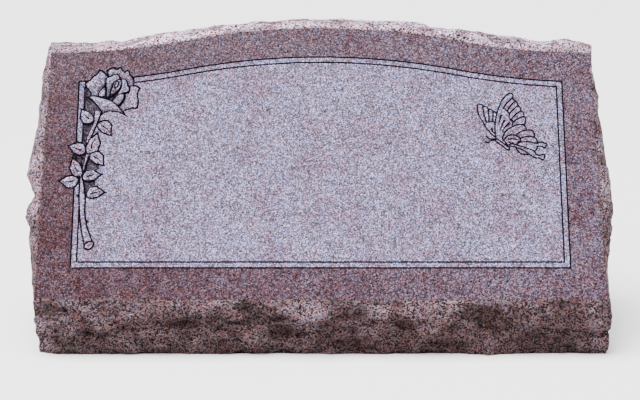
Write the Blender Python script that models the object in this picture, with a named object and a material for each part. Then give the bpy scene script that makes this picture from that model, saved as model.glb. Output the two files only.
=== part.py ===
# A slant headstone worked from one block of granite: a slant face with a serpentine top,
# rock-pitched nosing, top and ends, a sawn back and a flat bed. A double border line, a rose
# with its leafy stem and a swallowtail butterfly are cut into the face.
# Metres. +X runs along the width, -Y is the front, +Z is up, and the origin is the centre of
# the bed. On the face, s runs along X and t runs up the slope from the nosing's arris.

import math

import bpy
import numpy as np
from mathutils import Vector
from mathutils.geometry import delaunay_2d_cdt
from mathutils.kdtree import KDTree

# Block: each end leans in by END_TAPER from the nose to the shoulder
WIDTH = 0.762
END_TAPER = 0.006
DEPTH = 0.254
HEIGHT = 0.406
SHOULDER_DROP = 0.0315
NOSE_HEIGHT = 0.076
TOP_DEPTH = 0.051

# Rock pitch: how far the broken stone stands out from the arrises, and its flakes, whose
# ridges on the ends and the top stand above the bulge by no more than CREST. The nose tucks
# back to the bed, and the ends and the top thin out towards the sawn back, by these shares of
# their bulge, the thinning starting at a share of the depth.
NOSE_BULGE = 0.013
PITCH_RISE = 0.010
CORNER_BLEND = 0.026
NOSE_TUCK = 0.75
END_FADE = 0.6
END_FADE_FROM = 0.35
TOP_FADE = 0.5
TOP_FADE_FROM = 0.8
BROAD_FLAKE = 0.046
BROAD_FLAKE_DEPTH = 0.0065
SMALL_FLAKE = 0.019
SMALL_FLAKE_DEPTH = 0.0022
CREST = 0.0015
ARRIS_CHIP = 0.0022
CHIP_SPACING = 0.0256
# Bulge of each end at heights above the bed, and of the top at places along X
LEFT_END_BULGE = (
    (0.000, -0.013), (0.040, -0.011), (0.070, 0.004), (0.108, 0.015), (0.132, 0.016),
    (0.157, 0.021), (0.169, 0.029), (0.194, 0.016), (0.218, 0.031), (0.230, 0.028),
    (0.255, 0.024), (0.292, 0.021), (0.316, 0.025), (0.341, 0.028), (0.374, 0.035),
)
RIGHT_END_BULGE = (
    (0.000, 0.004), (0.050, 0.008), (0.108, 0.007), (0.132, 0.014), (0.145, 0.020),
    (0.169, 0.025), (0.190, 0.024), (0.243, 0.018), (0.292, 0.017), (0.316, 0.018),
    (0.341, 0.011), (0.374, 0.000),
)
TOP_BULGE = (
    (-0.375, 0.009), (-0.300, 0.009), (-0.285, 0.006), (-0.250, 0.012), (-0.200, 0.014),
    (-0.160, 0.012), (-0.118, 0.014), (-0.070, 0.009), (0.010, 0.015), (0.050, 0.009),
    (0.090, 0.014), (0.135, 0.018), (0.160, 0.011), (0.195, 0.018), (0.235, 0.018),
    (0.280, 0.014), (0.310, 0.011), (0.335, 0.015), (0.375, 0.018),
)

# Border lines
BORDER_SIDE_MARGIN = 0.0465
BORDER_BOTTOM_MARGIN = 0.0433
BORDER_TOP_MARGIN = 0.0425
BORDER_GAP = 0.008
LINE_WIDTH = 0.0022
LINE_DEPTH = 0.0016

# Carving
SPRAY_HEIGHT = 0.261
BUTTERFLY_WIDTH = 0.092
BUTTERFLY_FROM_SIDE = 0.093
BUTTERFLY_FROM_TOP = 0.086
RIB_WIDTH = 0.0018
EDGE_ROLL = 0.004
EDGE_ROLL_DEPTH = 0.0014
PETAL_DISH = 0.0030
POCKET_DEPTH = 0.006
POCKET_WALL = 0.0022

# Facet sizes
CURVE_STEP = 0.0031
ROCK_STEP = 0.021
FRONT_ROCK_STEP = 0.0168
ROCK_MARGIN = 0.0088
ARRIS_STEP = 0.016
TOP_ARRIS_STEP = 0.0128
RELIEF_STEP = 0.0066
BORDER_STRIDE = 5
SAMPLE_STEP = 0.0004
CORNER_ANGLE = 12
JITTER = 0.55
# Gaps between the points of the net: along a groove's sides and between the fill, as shares of
# their steps; off a groove's middle, as a share of its width; and off it, as a share of the roll
GROOVE_GAP = 0.3
FILL_GAP = 0.55
WALL_CLEAR = 0.47
ROLL_CLEAR = 0.55

NOSE_Y = -DEPTH / 2
BACK_Y = DEPTH / 2
SLOPE = math.atan2(DEPTH - TOP_DEPTH, HEIGHT - NOSE_HEIGHT)
SHOULDER_HEIGHT = HEIGHT - SHOULDER_DROP
HALF_SHOULDER = WIDTH / 2 - END_TAPER
SERPENTINE_RADIUS = (HALF_SHOULDER**2 + SHOULDER_DROP**2) / (4 * SHOULDER_DROP)
BORDER_HALF = WIDTH / 2 - BORDER_SIDE_MARGIN

# The spray is sketched on a grid whose height is SPRAY_GRID, with its origin at the border's
# top left corner, and the butterfly on a grid BUTTERFLY_GRID wide, with its origin at its head.
# A point is (right, up, bow): bow is the height of the arc to the next point, as a share of
# its chord, to the left of the way it runs.
SPRAY_GRID = 261.0
BUTTERFLY_GRID = 92.0

# Each petal: name, outline, the point that stays high and the point that is cut deepest
PETALS = (
    ("back petal",
     ((37.5, 15, .1), (47, 20.5, -.17), (53, 18.5, .16), (57.5, 20.5, -.15), (63, 14, .27),
      (68.5, 15, -.11), (74, 6, .17), (75, -4, .24), (68.5, -7.5, .04), (39.5, 6.5, -.05)),
     (60, 19), (57, 0)),
    ("right petal",
     ((68.5, -7.5, .17), (78, -6.5, .05), (84.5, -10, -.13), (82, -24, .05), (82, -36, .3),
      (79, -39.5, -.08), (72.5, -39.5, -.02), (62, -43.5, .05), (55, -35.5, .07),
      (58.5, -13, .04)),
     (83, -24), (60, -22)),
    ("left petal",
     ((9, -2, .05), (15, 2, .02), (21, 8.5, -.1), (27, 16.5, .11), (33.5, 14, .04),
      (39.5, 6.5, -.01), (35.5, -5.5, -.08), (26.5, -22, 0), (16, -21, -.15),
      (14.5, -13, .03), (9, -5.5, .19)),
     (16, 5), (32, -10)),
    ("small petal", ((35.5, -5.5, .05), (37, -22, .04), (27, -22, .12)), (28, -20), (36, -8)),
    ("outer bud",
     ((36.5, 5, .02), (51.5, 11.5, .15), (56.5, 2.5, .1), (43, -20, .11), (37.5, -22.5, -.01)),
     (46, 10), (43, -20)),
    ("wrapped petal",
     ((56, 2.5, .19), (65, 2.5, .05), (67, -5.5, .21), (68.5, -15.5, -.06), (57.5, -18.5, -.1),
      (47.5, -25, -.1), (45.5, -29, 0), (38.5, -24, -.11), (55.5, -13, -.21)),
     (64, 0), (42, -26)),
    ("bud mouth",
     ((43, -20, .07), (45.5, -6.5, .13), (53.5, 3, .28), (58.5, .5, .13), (56, -10.5, .09)),
     (57, -6), (46, -12)),
    ("lower lobe",
     ((47.5, -25, .1), (57.5, -18.5, .48), (63, -23.5, .08), (56, -34.5, .08), (46, -29, .2)),
     (60, -22), (49, -30)),
    ("curled sepal",
     ((11.5, -22, .09), (32, -24, .1), (55.5, -37, .05), (65.5, -50, -.11), (48.5, -44, -.15),
      (34.5, -47, .02), (31.5, -42.5, -.04), (19.5, -28, -.03)),
     (38, -28), (34, -46)),
)
BUD_HEART = ((49.5, -9.5, .16), (52.5, 0, .32), (54.5, -4, .16))

# Each leaf: its base, its tip, and how far its left and its right side swell, as shares of
# its length, seen along it from base to tip
LEAVES = (
    ((21.5, -59.5), (4, -40), .42, .25),
    ((28, -61.5), (47.5, -79.5), .50, .20),
    ((16.5, -105.5), (29, -74), .22, .33),
    ((13, -103.5), (-11.5, -93.5), .27, .42),
    ((18.5, -106.5), (39.5, -122.5), .46, .20),
    ((8, -138), (-4.5, -110), .33, .21),
    ((10.5, -140.5), (37, -135), .40, .22),
    ((5.5, -142), (-22, -144), .44, .24),
    ((17, -166), (43, -160), .48, .18),
)
LEAF_WIDEST = 0.42
LEAF_FULLNESS = 0.85
RIB_SPAN = (0.28, 0.78)
# The widths at the two ends of a tapering line, as shares of its own
TAPER = (1.35, 0.45)

# Stations of the stem, from the rose down to its cut end: right, up, half width
STEM = (
    (28, -43, 4.5), (26.5, -52, 4), (25, -61, 2.6), (20.5, -72, 3), (16.5, -84, 3),
    (16.5, -97, 2.6), (16, -106, 2.6), (12.5, -121, 2), (9, -140, 2), (9.8, -149, 2.8),
    (11.5, -169.5, 4.2), (12.3, -187, 3.6), (13.8, -199, 3.8), (16.5, -212.5, 4.3),
    (22, -230, 5.8), (23, -233, 6),
)
STEM_CUT = ((23.3, -234.4), (7.0, 5.2), 38)
# Thorns of the stem: foot, reach to the left; and the heights of a thorn's three points
THORNS = (((7.0, -166), 2.4), ((18.2, -202), -2.4))
THORN_RISE = (2.2, 0.6, -1.6)

# The dark hollows cut behind the rose and between the leaves
POCKETS = (
    ((6.5, -5.5, .12), (15.5, -13, -.08), (32.5, -33.5, .07), (34, -49.5, .04),
     (22, -50, .02), (6.5, -42, 0)),
    ((6.0, -58, 0), (22, -59, .06), (17, -80, .04), (12, -92, -.04), (6.5, -87, 0)),
    ((-4, -104, 0), (12, -104, 0), (13, -124, 0), (4, -122, 0)),
    ((15, -104, 0), (29, -112, .1), (32, -126, .1), (20, -134, 0), (11, -130, 0)),
    ((13, -143, 0), (28, -143, .1), (22, -158, 0), (15.5, -164, 0)),
)

FORE_WING = (
    ((-1, 2.5, .07), (5.5, 50, .09), (20, 69, .33), (23.5, 61, .12), (31, 50.5, .16),
     (34.5, 43, .19), (38.5, 34.5, .2), (40, 27, .22), (37, 22.5, -.1), (22.5, 19.5, -.14),
     (8, 2.5)),
    ((10.5, 46, .15), (16, 41.5, .26), (18.5, 36, -.18), (20.5, 29.5, .27), (23, 25.5, -.1),
     (22, 19.5)),
    ((10.5, 46, .07), (23.5, 61)),
    ((16, 41.5, .08), (27.5, 56.5)),
    ((18.5, 36.5, .08), (31, 50)),
    ((21, 30, .07), (34.5, 42.5)),
    ((23, 25.5, .08), (38.5, 34.5)),
)
FAR_WING = (
    ((-1, 4, .08), (-18, 27, .1), (-25, 48.5, .43), (-21, 52, .39), (-17.5, 49, .2),
     (-10, 45, .22), (-3.5, 41.5, .2), (1, 38.5)),
    ((-17.5, 49, -.03), (-13.5, 25.5)),
    ((-10, 45, 0), (-9.5, 26)),
    ((-3.5, 41.5, -.01), (-4.5, 26.5)),
    ((-13.5, 25.5, .15), (-1.5, 25.5)),
)
HIND_WING = (
    ((37, 22.5, .21), (40.5, 14.5, .33), (52, 4.5, .15), (55, -4.5, .18), (66, -4.5, .52),
     (67, -9, .44), (63, -9.5, -.12), (55.5, -9, .15), (51, -15.5, -.3), (61.5, -20.5, .53),
     (64.5, -24, .49), (58.5, -26, .09), (43.5, -20, -.07), (18, -8)),
    ((27, 7, .11), (40.5, 14.5)),
    ((32, 2, .13), (52.5, 4)),
    ((28.5, -4, .09), (55, -5)),
    ((27.5, -7, .03), (51, -15.5)),
    ((11, 1.5, .19), (27, 7, .15), (33, -1, -.21), (27.5, -7, -.12), (16.5, -6.5)),
    ((8, 2.5, -.04), (15, -6.5)),
    ((26, -11.5, -.2), (43.5, -20)),
    ((15.5, 1, .09), (28, 1)),
    ((16.5, -2.5, -.15), (23, -3.5)),
)
# Tapering slits inside the wings: wide end, narrow end, bow
WING_SLITS = (
    ((7.5, 37.5), (3.5, 23), 0), ((12, 30), (5.5, 14.5), -.03), ((18.5, 25), (7.5, 11.5), -.07),
    ((-6.5, 18.5), (-1.5, 8.5), -.11),
)
ANTENNAE = (((-3, 2, .18), (-14.5, 6.5)), ((-3, 0, -.13), (-11, -2.5, .36), (-16, -1)))
BODY_ENDS = ((0, 0), (15.5, -12))
BODY_HALF_WIDTH = 2.1


# Serpentine top and slant face

def smooth(x):
    x = np.clip(x, 0.0, 1.0)
    return x * x * (3 - 2 * x)


def top_height(x):
    """The height of the top at x: a convex crown between two hollow shoulders of like radius."""
    across = np.minimum(np.abs(x), HALF_SHOULDER)
    drop = SERPENTINE_RADIUS - np.sqrt(SERPENTINE_RADIUS**2 - across**2)
    rest = HALF_SHOULDER - across
    shoulder = SHOULDER_DROP - SERPENTINE_RADIUS + np.sqrt(SERPENTINE_RADIUS**2 - rest**2)
    return HEIGHT - np.where(across < HALF_SHOULDER / 2, drop, shoulder)


def half_width(z):
    rise = np.clip((z - NOSE_HEIGHT) / (SHOULDER_HEIGHT - NOSE_HEIGHT), 0, 1)
    return WIDTH / 2 + (HALF_SHOULDER - WIDTH / 2) * rise


def face_y(z):
    return NOSE_Y + (z - NOSE_HEIGHT) * math.tan(SLOPE)


def face_t(z):
    return (z - NOSE_HEIGHT) / math.cos(SLOPE)


def on_face(s, t):
    return (s, NOSE_Y + t * math.sin(SLOPE), NOSE_HEIGHT + t * math.cos(SLOPE))


# Curves on the face

def arc_chain(points, step, close=False):
    """Points along a chain of arcs, about step apart."""
    ends = list(points) + ([points[0]] if close else [])
    out = [np.array(ends[0][:2], float)]
    for here, there in zip(ends, ends[1:]):
        a, b = np.array(here[:2], float), np.array(there[:2], float)
        chord = b - a
        side = np.array([-chord[1], chord[0]])
        bow = here[2] if len(here) > 2 else 0
        count = max(2, round(np.linalg.norm(chord) * (1 + 2 * bow * bow) / step))
        for k in range(1, count + 1):
            u = k / count
            out.append(a + chord * u + side * bow * 4 * u * (1 - u))
    return np.array(out[:-1] if close else out)


def leaf_side(base, tip, swell, step):
    """One side of a leaf, from base to tip, swelling to the left by a share of its length."""
    chord = tip - base
    side = np.array([-chord[1], chord[0]])
    count = max(5, round(np.linalg.norm(chord) * 1.15 / step))
    power = math.log(0.5) / math.log(LEAF_WIDEST)
    out = []
    for k in range(count + 1):
        u = k / count
        out.append(base + chord * u + side * swell * math.sin(math.pi * u**power) ** LEAF_FULLNESS)
    return out


def leaf_outline(base, tip, left, right, step):
    base, tip = np.array(base, float), np.array(tip, float)
    up = leaf_side(base, tip, left, step)
    down = leaf_side(base, tip, -right, step)[::-1]
    return np.array(up[:-1] + down[:-1])


def leaf_rib(base, tip, left, right, step):
    base, tip = np.array(base, float), np.array(tip, float)
    chord = tip - base
    side = np.array([-chord[1], chord[0]]) * (left - right) / 4
    a, b = (base + chord * u + side for u in RIB_SPAN)
    return arc_chain([(*a, 0.06), tuple(b)], step)


def ribbon_outline(stations, step):
    """The outline of a ribbon through stations of (x, y, half width), first down its left."""
    route = np.array(stations, float)
    count = len(route)
    fine = []
    for k in range(count - 1):
        p0, p1, p2, p3 = (route[min(max(j, 0), count - 1)] for j in range(k - 1, k + 3))
        parts = max(1, round(np.linalg.norm(p2[:2] - p1[:2]) / step))
        for i in range(parts):
            u = i / parts
            fine.append(
                0.5 * (2 * p1 + (p2 - p0) * u + (2 * p0 - 5 * p1 + 4 * p2 - p3) * u**2
                       + (3 * p1 - p0 - 3 * p2 + p3) * u**3)
            )
    fine = np.array(fine + [route[-1]])
    along = np.gradient(fine[:, :2], axis=0)
    along /= np.linalg.norm(along, axis=1)[:, None]
    side = np.stack([-along[:, 1], along[:, 0]], axis=1) * fine[:, 2:]
    left, right = fine[:, :2] + side, fine[:, :2] - side
    parts = max(2, round(np.linalg.norm(right[-1] - left[-1]) / step))
    cap = [left[-1] + (right[-1] - left[-1]) * k / parts for k in range(1, parts)]
    return np.concatenate([left, cap, right[::-1]])


def ellipse(centre, radii, turn, step):
    count = max(10, round(math.pi * sum(radii) / step))
    angle = np.arange(count) * 2 * math.pi / count
    c, s = math.cos(math.radians(turn)), math.sin(math.radians(turn))
    x, y = radii[0] * np.cos(angle), radii[1] * np.sin(angle)
    return np.stack([centre[0] + c * x - s * y, centre[1] + s * x + c * y], axis=1)


def capsule(a, b, radius, step):
    a, b = np.array(a, float), np.array(b, float)
    along = (b - a) / np.linalg.norm(b - a)
    side = np.array([-along[1], along[0]]) * radius
    points = [(*(a + side), 0), (*(b + side), 0.5), (*(b - side), 0), (*(a - side), 0.5)]
    return arc_chain(points, step, close=True)


def thorn(foot, reach):
    x, y = foot
    return np.array([(x - out, y + up) for out, up in zip((0, reach, 0), THORN_RISE)])


def inside(outline, points):
    """Which of the points lie inside a closed outline."""
    found = np.zeros(len(points), bool)
    x, y = points[:, 0], points[:, 1]
    low, high = outline.min(0), outline.max(0)
    near = np.flatnonzero((x >= low[0]) & (x <= high[0]) & (y >= low[1]) & (y <= high[1]))
    x, y = x[near], y[near]
    hit = np.zeros(len(near), bool)
    for (ax, ay), (bx, by) in zip(outline, np.roll(outline, -1, axis=0)):
        cross = (ay > y) != (by > y)
        with np.errstate(divide="ignore", invalid="ignore"):
            hit ^= cross & (x < ax + (y - ay) / (by - ay) * (bx - ax))
    found[near] = hit
    return found


def sparse(points, stride):
    """Which points of a line to keep: its ends, its corners and every stride-th."""
    ways = np.diff(points, axis=0)
    ways /= np.maximum(np.linalg.norm(ways, axis=1), 1e-9)[:, None]
    corner = np.ones(len(points), bool)
    corner[1:-1] = (ways[1:] * ways[:-1]).sum(1) < math.cos(math.radians(CORNER_ANGLE))
    return np.flatnonzero(corner | (np.arange(len(points)) % stride == 0))


def outward(points):
    """The mitred sideways direction at each point of a line, for offsets to its left."""
    ways = np.diff(points, axis=0)
    ways /= np.maximum(np.linalg.norm(ways, axis=1), 1e-9)[:, None]
    ring = np.linalg.norm(points[0] - points[-1]) < 1e-9
    before = np.concatenate([ways[-1:] if ring else ways[:1], ways])
    after = np.concatenate([ways, ways[:1] if ring else ways[-1:]])
    middle = before + after
    middle /= np.maximum(np.linalg.norm(middle, axis=1), 1e-9)[:, None]
    mitre = 1 / np.clip((middle * before).sum(1), 0.5, 1)
    return np.stack([-middle[:, 1], middle[:, 0]], axis=1) * mitre[:, None]


class Carving:
    """The cut forms of the face, from the lowest to the uppermost, and the depth that they give."""

    def __init__(self, step):
        self.step = step
        self.forms = []
        self.lines = []

    def form(self, kind, outline, line=True, high=None, low=None):
        self.forms.append({"kind": kind, "outline": outline, "high": high, "low": low})
        if line:
            self.line(np.concatenate([outline, outline[:1]]), LINE_WIDTH)

    def line(self, points, width, rib=False, taper=False, stride=1):
        self.lines.append(
            {"points": points, "width": width, "over": len(self.forms), "rib": rib,
             "taper": taper, "stride": stride}
        )

    def visible_runs(self):
        """The stretches of each line that no later form covers, with their widths."""
        runs = []
        for line in self.lines:
            points = line["points"]
            width = np.full(len(points), line["width"])
            if line["taper"]:
                width *= np.linspace(*TAPER, len(points))
            hidden = np.zeros(len(points), bool)
            for form in self.forms[line["over"]:]:
                if form["kind"] != "pocket":
                    hidden |= inside(form["outline"], points)
            start = None
            for k in range(len(points) + 1):
                shown = k < len(points) and not hidden[k]
                if shown and start is None:
                    start = k
                if not shown and start is not None:
                    if k - start > 1:
                        pick = start + sparse(points[start:k], line["stride"])
                        runs.append((points[pick], width[pick], line["rib"]))
                    start = None
        return runs

    def settle(self):
        """Samples the visible lines closely, so that a distance to them can be looked up."""
        self.runs = self.visible_runs()
        self.trees = {}
        for rib in (False, True):
            samples, widths = [], []
            for points, width, is_rib in self.runs:
                if is_rib != rib:
                    continue
                for k in range(len(points) - 1):
                    reach = np.linalg.norm(points[k + 1] - points[k])
                    parts = max(1, math.ceil(reach / SAMPLE_STEP))
                    for i in range(parts):
                        u = i / parts
                        samples.append(points[k] + (points[k + 1] - points[k]) * u)
                        widths.append(width[k] + (width[k + 1] - width[k]) * u)
                samples.append(points[-1])
                widths.append(width[-1])
            tree = KDTree(len(samples))
            for k, (s, t) in enumerate(samples):
                tree.insert((s, t, 0), k)
            tree.balance()
            self.trees[rib] = (tree, np.array(widths))

    def nearest(self, points, rib):
        """The distance from each point to the nearest outline or rib, and that line's width."""
        tree, widths = self.trees[rib]
        found = [tree.find((s, t, 0)) for s, t in points]
        return np.array([f[2] for f in found]), widths[[f[1] for f in found]]

    def uppermost(self, points):
        """The index of the uppermost form over each point, or -1."""
        top = np.full(len(points), -1)
        for k, form in enumerate(self.forms):
            top[inside(form["outline"], points)] = k
        return top

    def depth(self, points):
        """How far the face is cut back at each point of the face."""
        edge, edge_width = self.nearest(points, False)
        rib, rib_width = self.nearest(points, True)
        top = self.uppermost(points)
        cut = np.zeros(len(points))
        for k, form in enumerate(self.forms):
            on = top == k
            if not on.any():
                continue
            if form["kind"] == "pocket":
                cut[on] = POCKET_DEPTH * smooth(edge[on] / POCKET_WALL)
                continue
            cut[on] = EDGE_ROLL_DEPTH * (1 - smooth(edge[on] / EDGE_ROLL))
            if form["high"] is not None:
                way = form["low"] - form["high"]
                share = ((points[on] - form["high"]) @ way) / (way @ way)
                cut[on] += PETAL_DISH * smooth(share)
        cut += LINE_DEPTH * np.clip(1 - edge / (edge_width / 2), 0, 1)
        cut += LINE_DEPTH * np.clip(1 - rib / (rib_width / 2), 0, 1)
        return cut


def border_outline(inset, step):
    """The closed outline of a border line: square below, and parallel to the top above."""
    half = BORDER_HALF - inset
    low = BORDER_BOTTOM_MARGIN + inset
    across = np.linspace(-half, half, max(9, round(2 * half / step)))
    over = face_t(top_height(across)) - BORDER_TOP_MARGIN - inset
    arch = list(zip(across, over))
    corners = [(-half, low), (half, low), (half, over[-1])]
    points = [np.array(p) for p in corners + arch[::-1][1:] + [(-half, low)]]
    out = []
    for a, b in zip(points, points[1:]):
        parts = max(1, round(np.linalg.norm(b - a) / step))
        out += [a + (b - a) * k / parts for k in range(parts)]
    return np.array(out + [points[-1]])


def cut_spray(carving, corner, unit):
    """The rose, its leaves and its stem, from what lies lowest to what lies on top."""
    step = carving.step / unit

    def place(points):
        return np.asarray(points, float)[:, :2] * unit + corner

    for outline in POCKETS:
        carving.form("pocket", place(arc_chain(outline, step, close=True)), line=False)
    carving.form("stem", place(ribbon_outline(STEM, step)))
    for at, reach in THORNS:
        carving.line(place(thorn(at, reach)), LINE_WIDTH)
    centre, radii, turn = STEM_CUT
    carving.form("stem", place(ellipse(centre, radii, turn, step)))
    for leaf in LEAVES:
        carving.form("leaf", place(leaf_outline(*leaf, step)))
        carving.line(place(leaf_rib(*leaf, step)), RIB_WIDTH, rib=True, taper=True)
    for name, outline, high, low in PETALS:
        high, low = (np.array(p) * unit + corner for p in (high, low))
        carving.form("petal", place(arc_chain(outline, step, close=True)), True, high, low)
        if name == "bud mouth":
            heart = place(arc_chain(BUD_HEART, step, close=True))
            carving.line(np.concatenate([heart, heart[:1]]), LINE_WIDTH, rib=True)


def cut_butterfly(carving, head, unit):
    step = carving.step / unit

    def place(points):
        return np.asarray(points, float)[:, :2] * unit + head

    for outline in FORE_WING + FAR_WING + HIND_WING + ANTENNAE:
        carving.line(place(arc_chain(outline, step)), LINE_WIDTH)
    for wide, narrow, bow in WING_SLITS:
        carving.line(place(arc_chain([(*wide, bow), narrow], step)), LINE_WIDTH, taper=True)
    body = place(capsule(*BODY_ENDS, BODY_HALF_WIDTH, step))
    carving.line(np.concatenate([body, body[:1]]), LINE_WIDTH)


def carve_face(step):
    carving = Carving(step)
    for inset in (0, BORDER_GAP):
        carving.line(border_outline(inset, step), LINE_WIDTH, stride=BORDER_STRIDE)
    corner_top = face_t(top_height(BORDER_HALF)) - BORDER_TOP_MARGIN
    left_corner = np.array([-BORDER_HALF, corner_top])
    cut_spray(carving, left_corner, SPRAY_HEIGHT / SPRAY_GRID)
    head = np.array([BORDER_HALF - BUTTERFLY_FROM_SIDE, corner_top - BUTTERFLY_FROM_TOP])
    cut_butterfly(carving, head, BUTTERFLY_WIDTH / BUTTERFLY_GRID)
    carving.settle()
    return carving


# Broken stone

def hashed(cells, salt):
    """A repeatable number from 0 to 1 for each cell of a lattice."""
    mixed = cells[:, 0] * 73856093 ^ cells[:, 1] * 19349663 ^ cells[:, 2] * 83492791
    mixed = (mixed ^ salt * 2654435761) & 0xFFFFFFFF
    mixed = ((mixed ^ (mixed >> 15)) * 2246822519) & 0xFFFFFFFF
    mixed = ((mixed ^ (mixed >> 13)) * 3266489917) & 0xFFFFFFFF
    return ((mixed ^ (mixed >> 16)) & 0xFFFFFF) / 0xFFFFFF


def flakes(points, size, salt):
    """Shell-shaped flake scars: dishes that meet in sharp ridges, from about -0.5 to 0.5."""
    scaled = points / size
    home = np.floor(scaled).astype(np.int64)
    best = np.full(len(points), 9.0)
    for shift in np.ndindex(3, 3, 3):
        cells = home + np.array(shift) - 1
        spot = cells + np.stack([hashed(cells, salt + k) for k in range(3)], axis=1)
        reach = ((scaled - spot) ** 2).sum(1) + 0.5 * hashed(cells, salt + 3)
        best = np.minimum(best, reach)
    return best - 0.5


def end_bulge(x, z):
    left = np.interp(z, *zip(*LEFT_END_BULGE))
    right = np.interp(z, *zip(*RIGHT_END_BULGE))
    return np.where(x < 0, left, right)


def broken(points, patches):
    """Moves the points of the rock-pitched faces out of the arrises' planes."""
    x, y, z = points.T
    on = {name: np.array([name in p for p in patches]) for name in ("nose", "end", "top")}
    slope = np.array([math.sin(SLOPE), math.cos(SLOPE)])
    up = np.stack([y - NOSE_Y, z - NOSE_HEIGHT], axis=1)
    along = np.clip(up @ slope, 0, None)
    from_arris = {
        "nose": NOSE_HEIGHT - z,
        "end": np.linalg.norm(up - along[:, None] * slope, axis=1),
        "top": y - face_y(top_height(x)),
    }
    side = np.where(x < 0, -1.0, 1.0)
    zero, one = np.zeros(len(points)), np.ones(len(points))
    normal = {"nose": (zero, -one, zero), "end": (side, zero, zero), "top": (zero, zero, one)}
    behind = (y - NOSE_Y) / DEPTH

    def towards_back(start):
        return smooth((behind - start) / (1 - start))

    bulge = {
        "nose": NOSE_BULGE * (1 - NOSE_TUCK * (from_arris["nose"] / NOSE_HEIGHT) ** 2),
        "end": end_bulge(x, z) * (1 - END_FADE * towards_back(END_FADE_FROM)),
        "top": np.interp(x, *zip(*TOP_BULGE)) * (1 - TOP_FADE * towards_back(TOP_FADE_FROM)),
    }
    inwards = (half_width(z) - np.abs(x)) / CORNER_BLEND
    weight = {
        "nose": np.where(on["nose"], 1, np.clip(1 - (y - NOSE_Y) / CORNER_BLEND, 0, 1)
                         * (z <= NOSE_HEIGHT)),
        "end": np.where(on["end"], 1, np.clip(1 - inwards, 0, 1)),
        "top": np.where(on["top"], 1,
                        np.clip(1 - (SHOULDER_HEIGHT - z) / CORNER_BLEND, 0, 1) * on["end"]),
    }
    total = sum(weight.values())
    rough = BROAD_FLAKE_DEPTH * flakes(points, BROAD_FLAKE, 11)
    rough += SMALL_FLAKE_DEPTH * flakes(points, SMALL_FLAKE, 29)
    crests = {"nose": rough, "end": np.minimum(rough, CREST), "top": np.minimum(rough, CREST)}
    amount, way = np.zeros(len(points)), np.zeros((len(points), 3))
    for name in weight:
        rise = 1 - np.exp(-np.clip(from_arris[name], 0, None) / PITCH_RISE)
        amount += weight[name] * (bulge[name] + crests[name]) * rise / total
        way += weight[name][:, None] * np.stack(normal[name], axis=1)
    way /= np.linalg.norm(way, axis=1)[:, None]
    return points + way * amount[:, None]


# Faces of the block, each triangulated flat, then lifted

class Block:
    def __init__(self):
        self.points, self.patches, self.faces, self.known = [], [], [], {}

    def vertex(self, point, patch):
        key = tuple(round(c, 7) for c in point)
        if key not in self.known:
            self.known[key] = len(self.points)
            self.points.append(tuple(point))
            self.patches.append(set())
        self.patches[self.known[key]].add(patch)
        return self.known[key]

    def patch(self, name, loop, flat, lift, inner=(), lines=(), turned=False):
        """Fills a closed loop of 3-D points. flat gives a point's place in the patch's plane,
        and lift gives back the 3-D point of an inner one."""
        plane = [flat(p) for p in loop] + [tuple(p) for p in inner]
        edges = [(k, (k + 1) % len(loop)) for k in range(len(loop))]
        for run in lines:
            first = len(plane)
            plane += [tuple(p) for p in run]
            edges += [(k, k + 1) for k in range(first, len(plane) - 1)]
        spots, _, faces, origins, _, _ = delaunay_2d_cdt(
            [Vector(p) for p in plane], edges, [], 1, 1e-6
        )
        index = []
        for spot, origin in zip(spots, origins):
            on_loop = [k for k in origin if k < len(loop)]
            point = loop[on_loop[0]] if on_loop else lift(*spot)
            index.append(self.vertex(point, name))
        for face in faces:
            corners = [index[k] for k in face]
            if len(set(corners)) == 3:
                self.faces.append(corners[::-1] if turned else corners)


def spaced(first, last, step):
    """Values from first to last, both in, about step apart."""
    return np.linspace(first, last, max(2, round(abs(last - first) / step) + 1))


def chips(where, salt):
    """How far an arris is chipped back at each place along it."""
    spots = np.stack([where, where * 0, where * 0 + salt], axis=1)
    return ARRIS_CHIP * np.clip(flakes(spots, CHIP_SPACING, salt) + 0.4, 0, 1)


def scattered(low, high, step, keep, salt):
    """Points of a jittered grid that keep accepts."""
    out = []
    columns = max(1, round((high[0] - low[0]) / step))
    rows = max(1, round((high[1] - low[1]) / step))
    for i in range(columns + 1):
        for j in range(rows + 1):
            cell = np.array([[i, j, salt]])
            shift = [hashed(cell, salt + k)[0] - 0.5 for k in (1, 2)]
            u = low[0] + (i + JITTER * shift[0]) * (high[0] - low[0]) / columns
            v = low[1] + (j + JITTER * shift[1]) * (high[1] - low[1]) / rows
            if keep(u, v):
                out.append((u, v))
    return out


class Spots:
    """Points that keep at least a gap from each other."""

    def __init__(self, gap, taken=()):
        self.gap, self.cells = gap, {}
        for p in taken:
            self.cells.setdefault(self.cell(p), []).append(p)

    def cell(self, p):
        return math.floor(p[0] / self.gap), math.floor(p[1] / self.gap)

    def add(self, p):
        """Takes the point if it keeps the gap, and says whether it does."""
        i, j = self.cell(p)
        for a in (i - 1, i, i + 1):
            for b in (j - 1, j, j + 1):
                for q in self.cells.get((a, b), ()):
                    if math.hypot(p[0] - q[0], p[1] - q[1]) < self.gap:
                        return False
        self.cells.setdefault((i, j), []).append(p)
        return True


def unbroken(points, good):
    """The stretches of a line whose points are all good."""
    runs, start = [], None
    for k in range(len(points) + 1):
        if k < len(points) and good[k]:
            start = k if start is None else start
        elif start is not None:
            runs.append(points[start:k])
            start = None
    return runs


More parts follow.
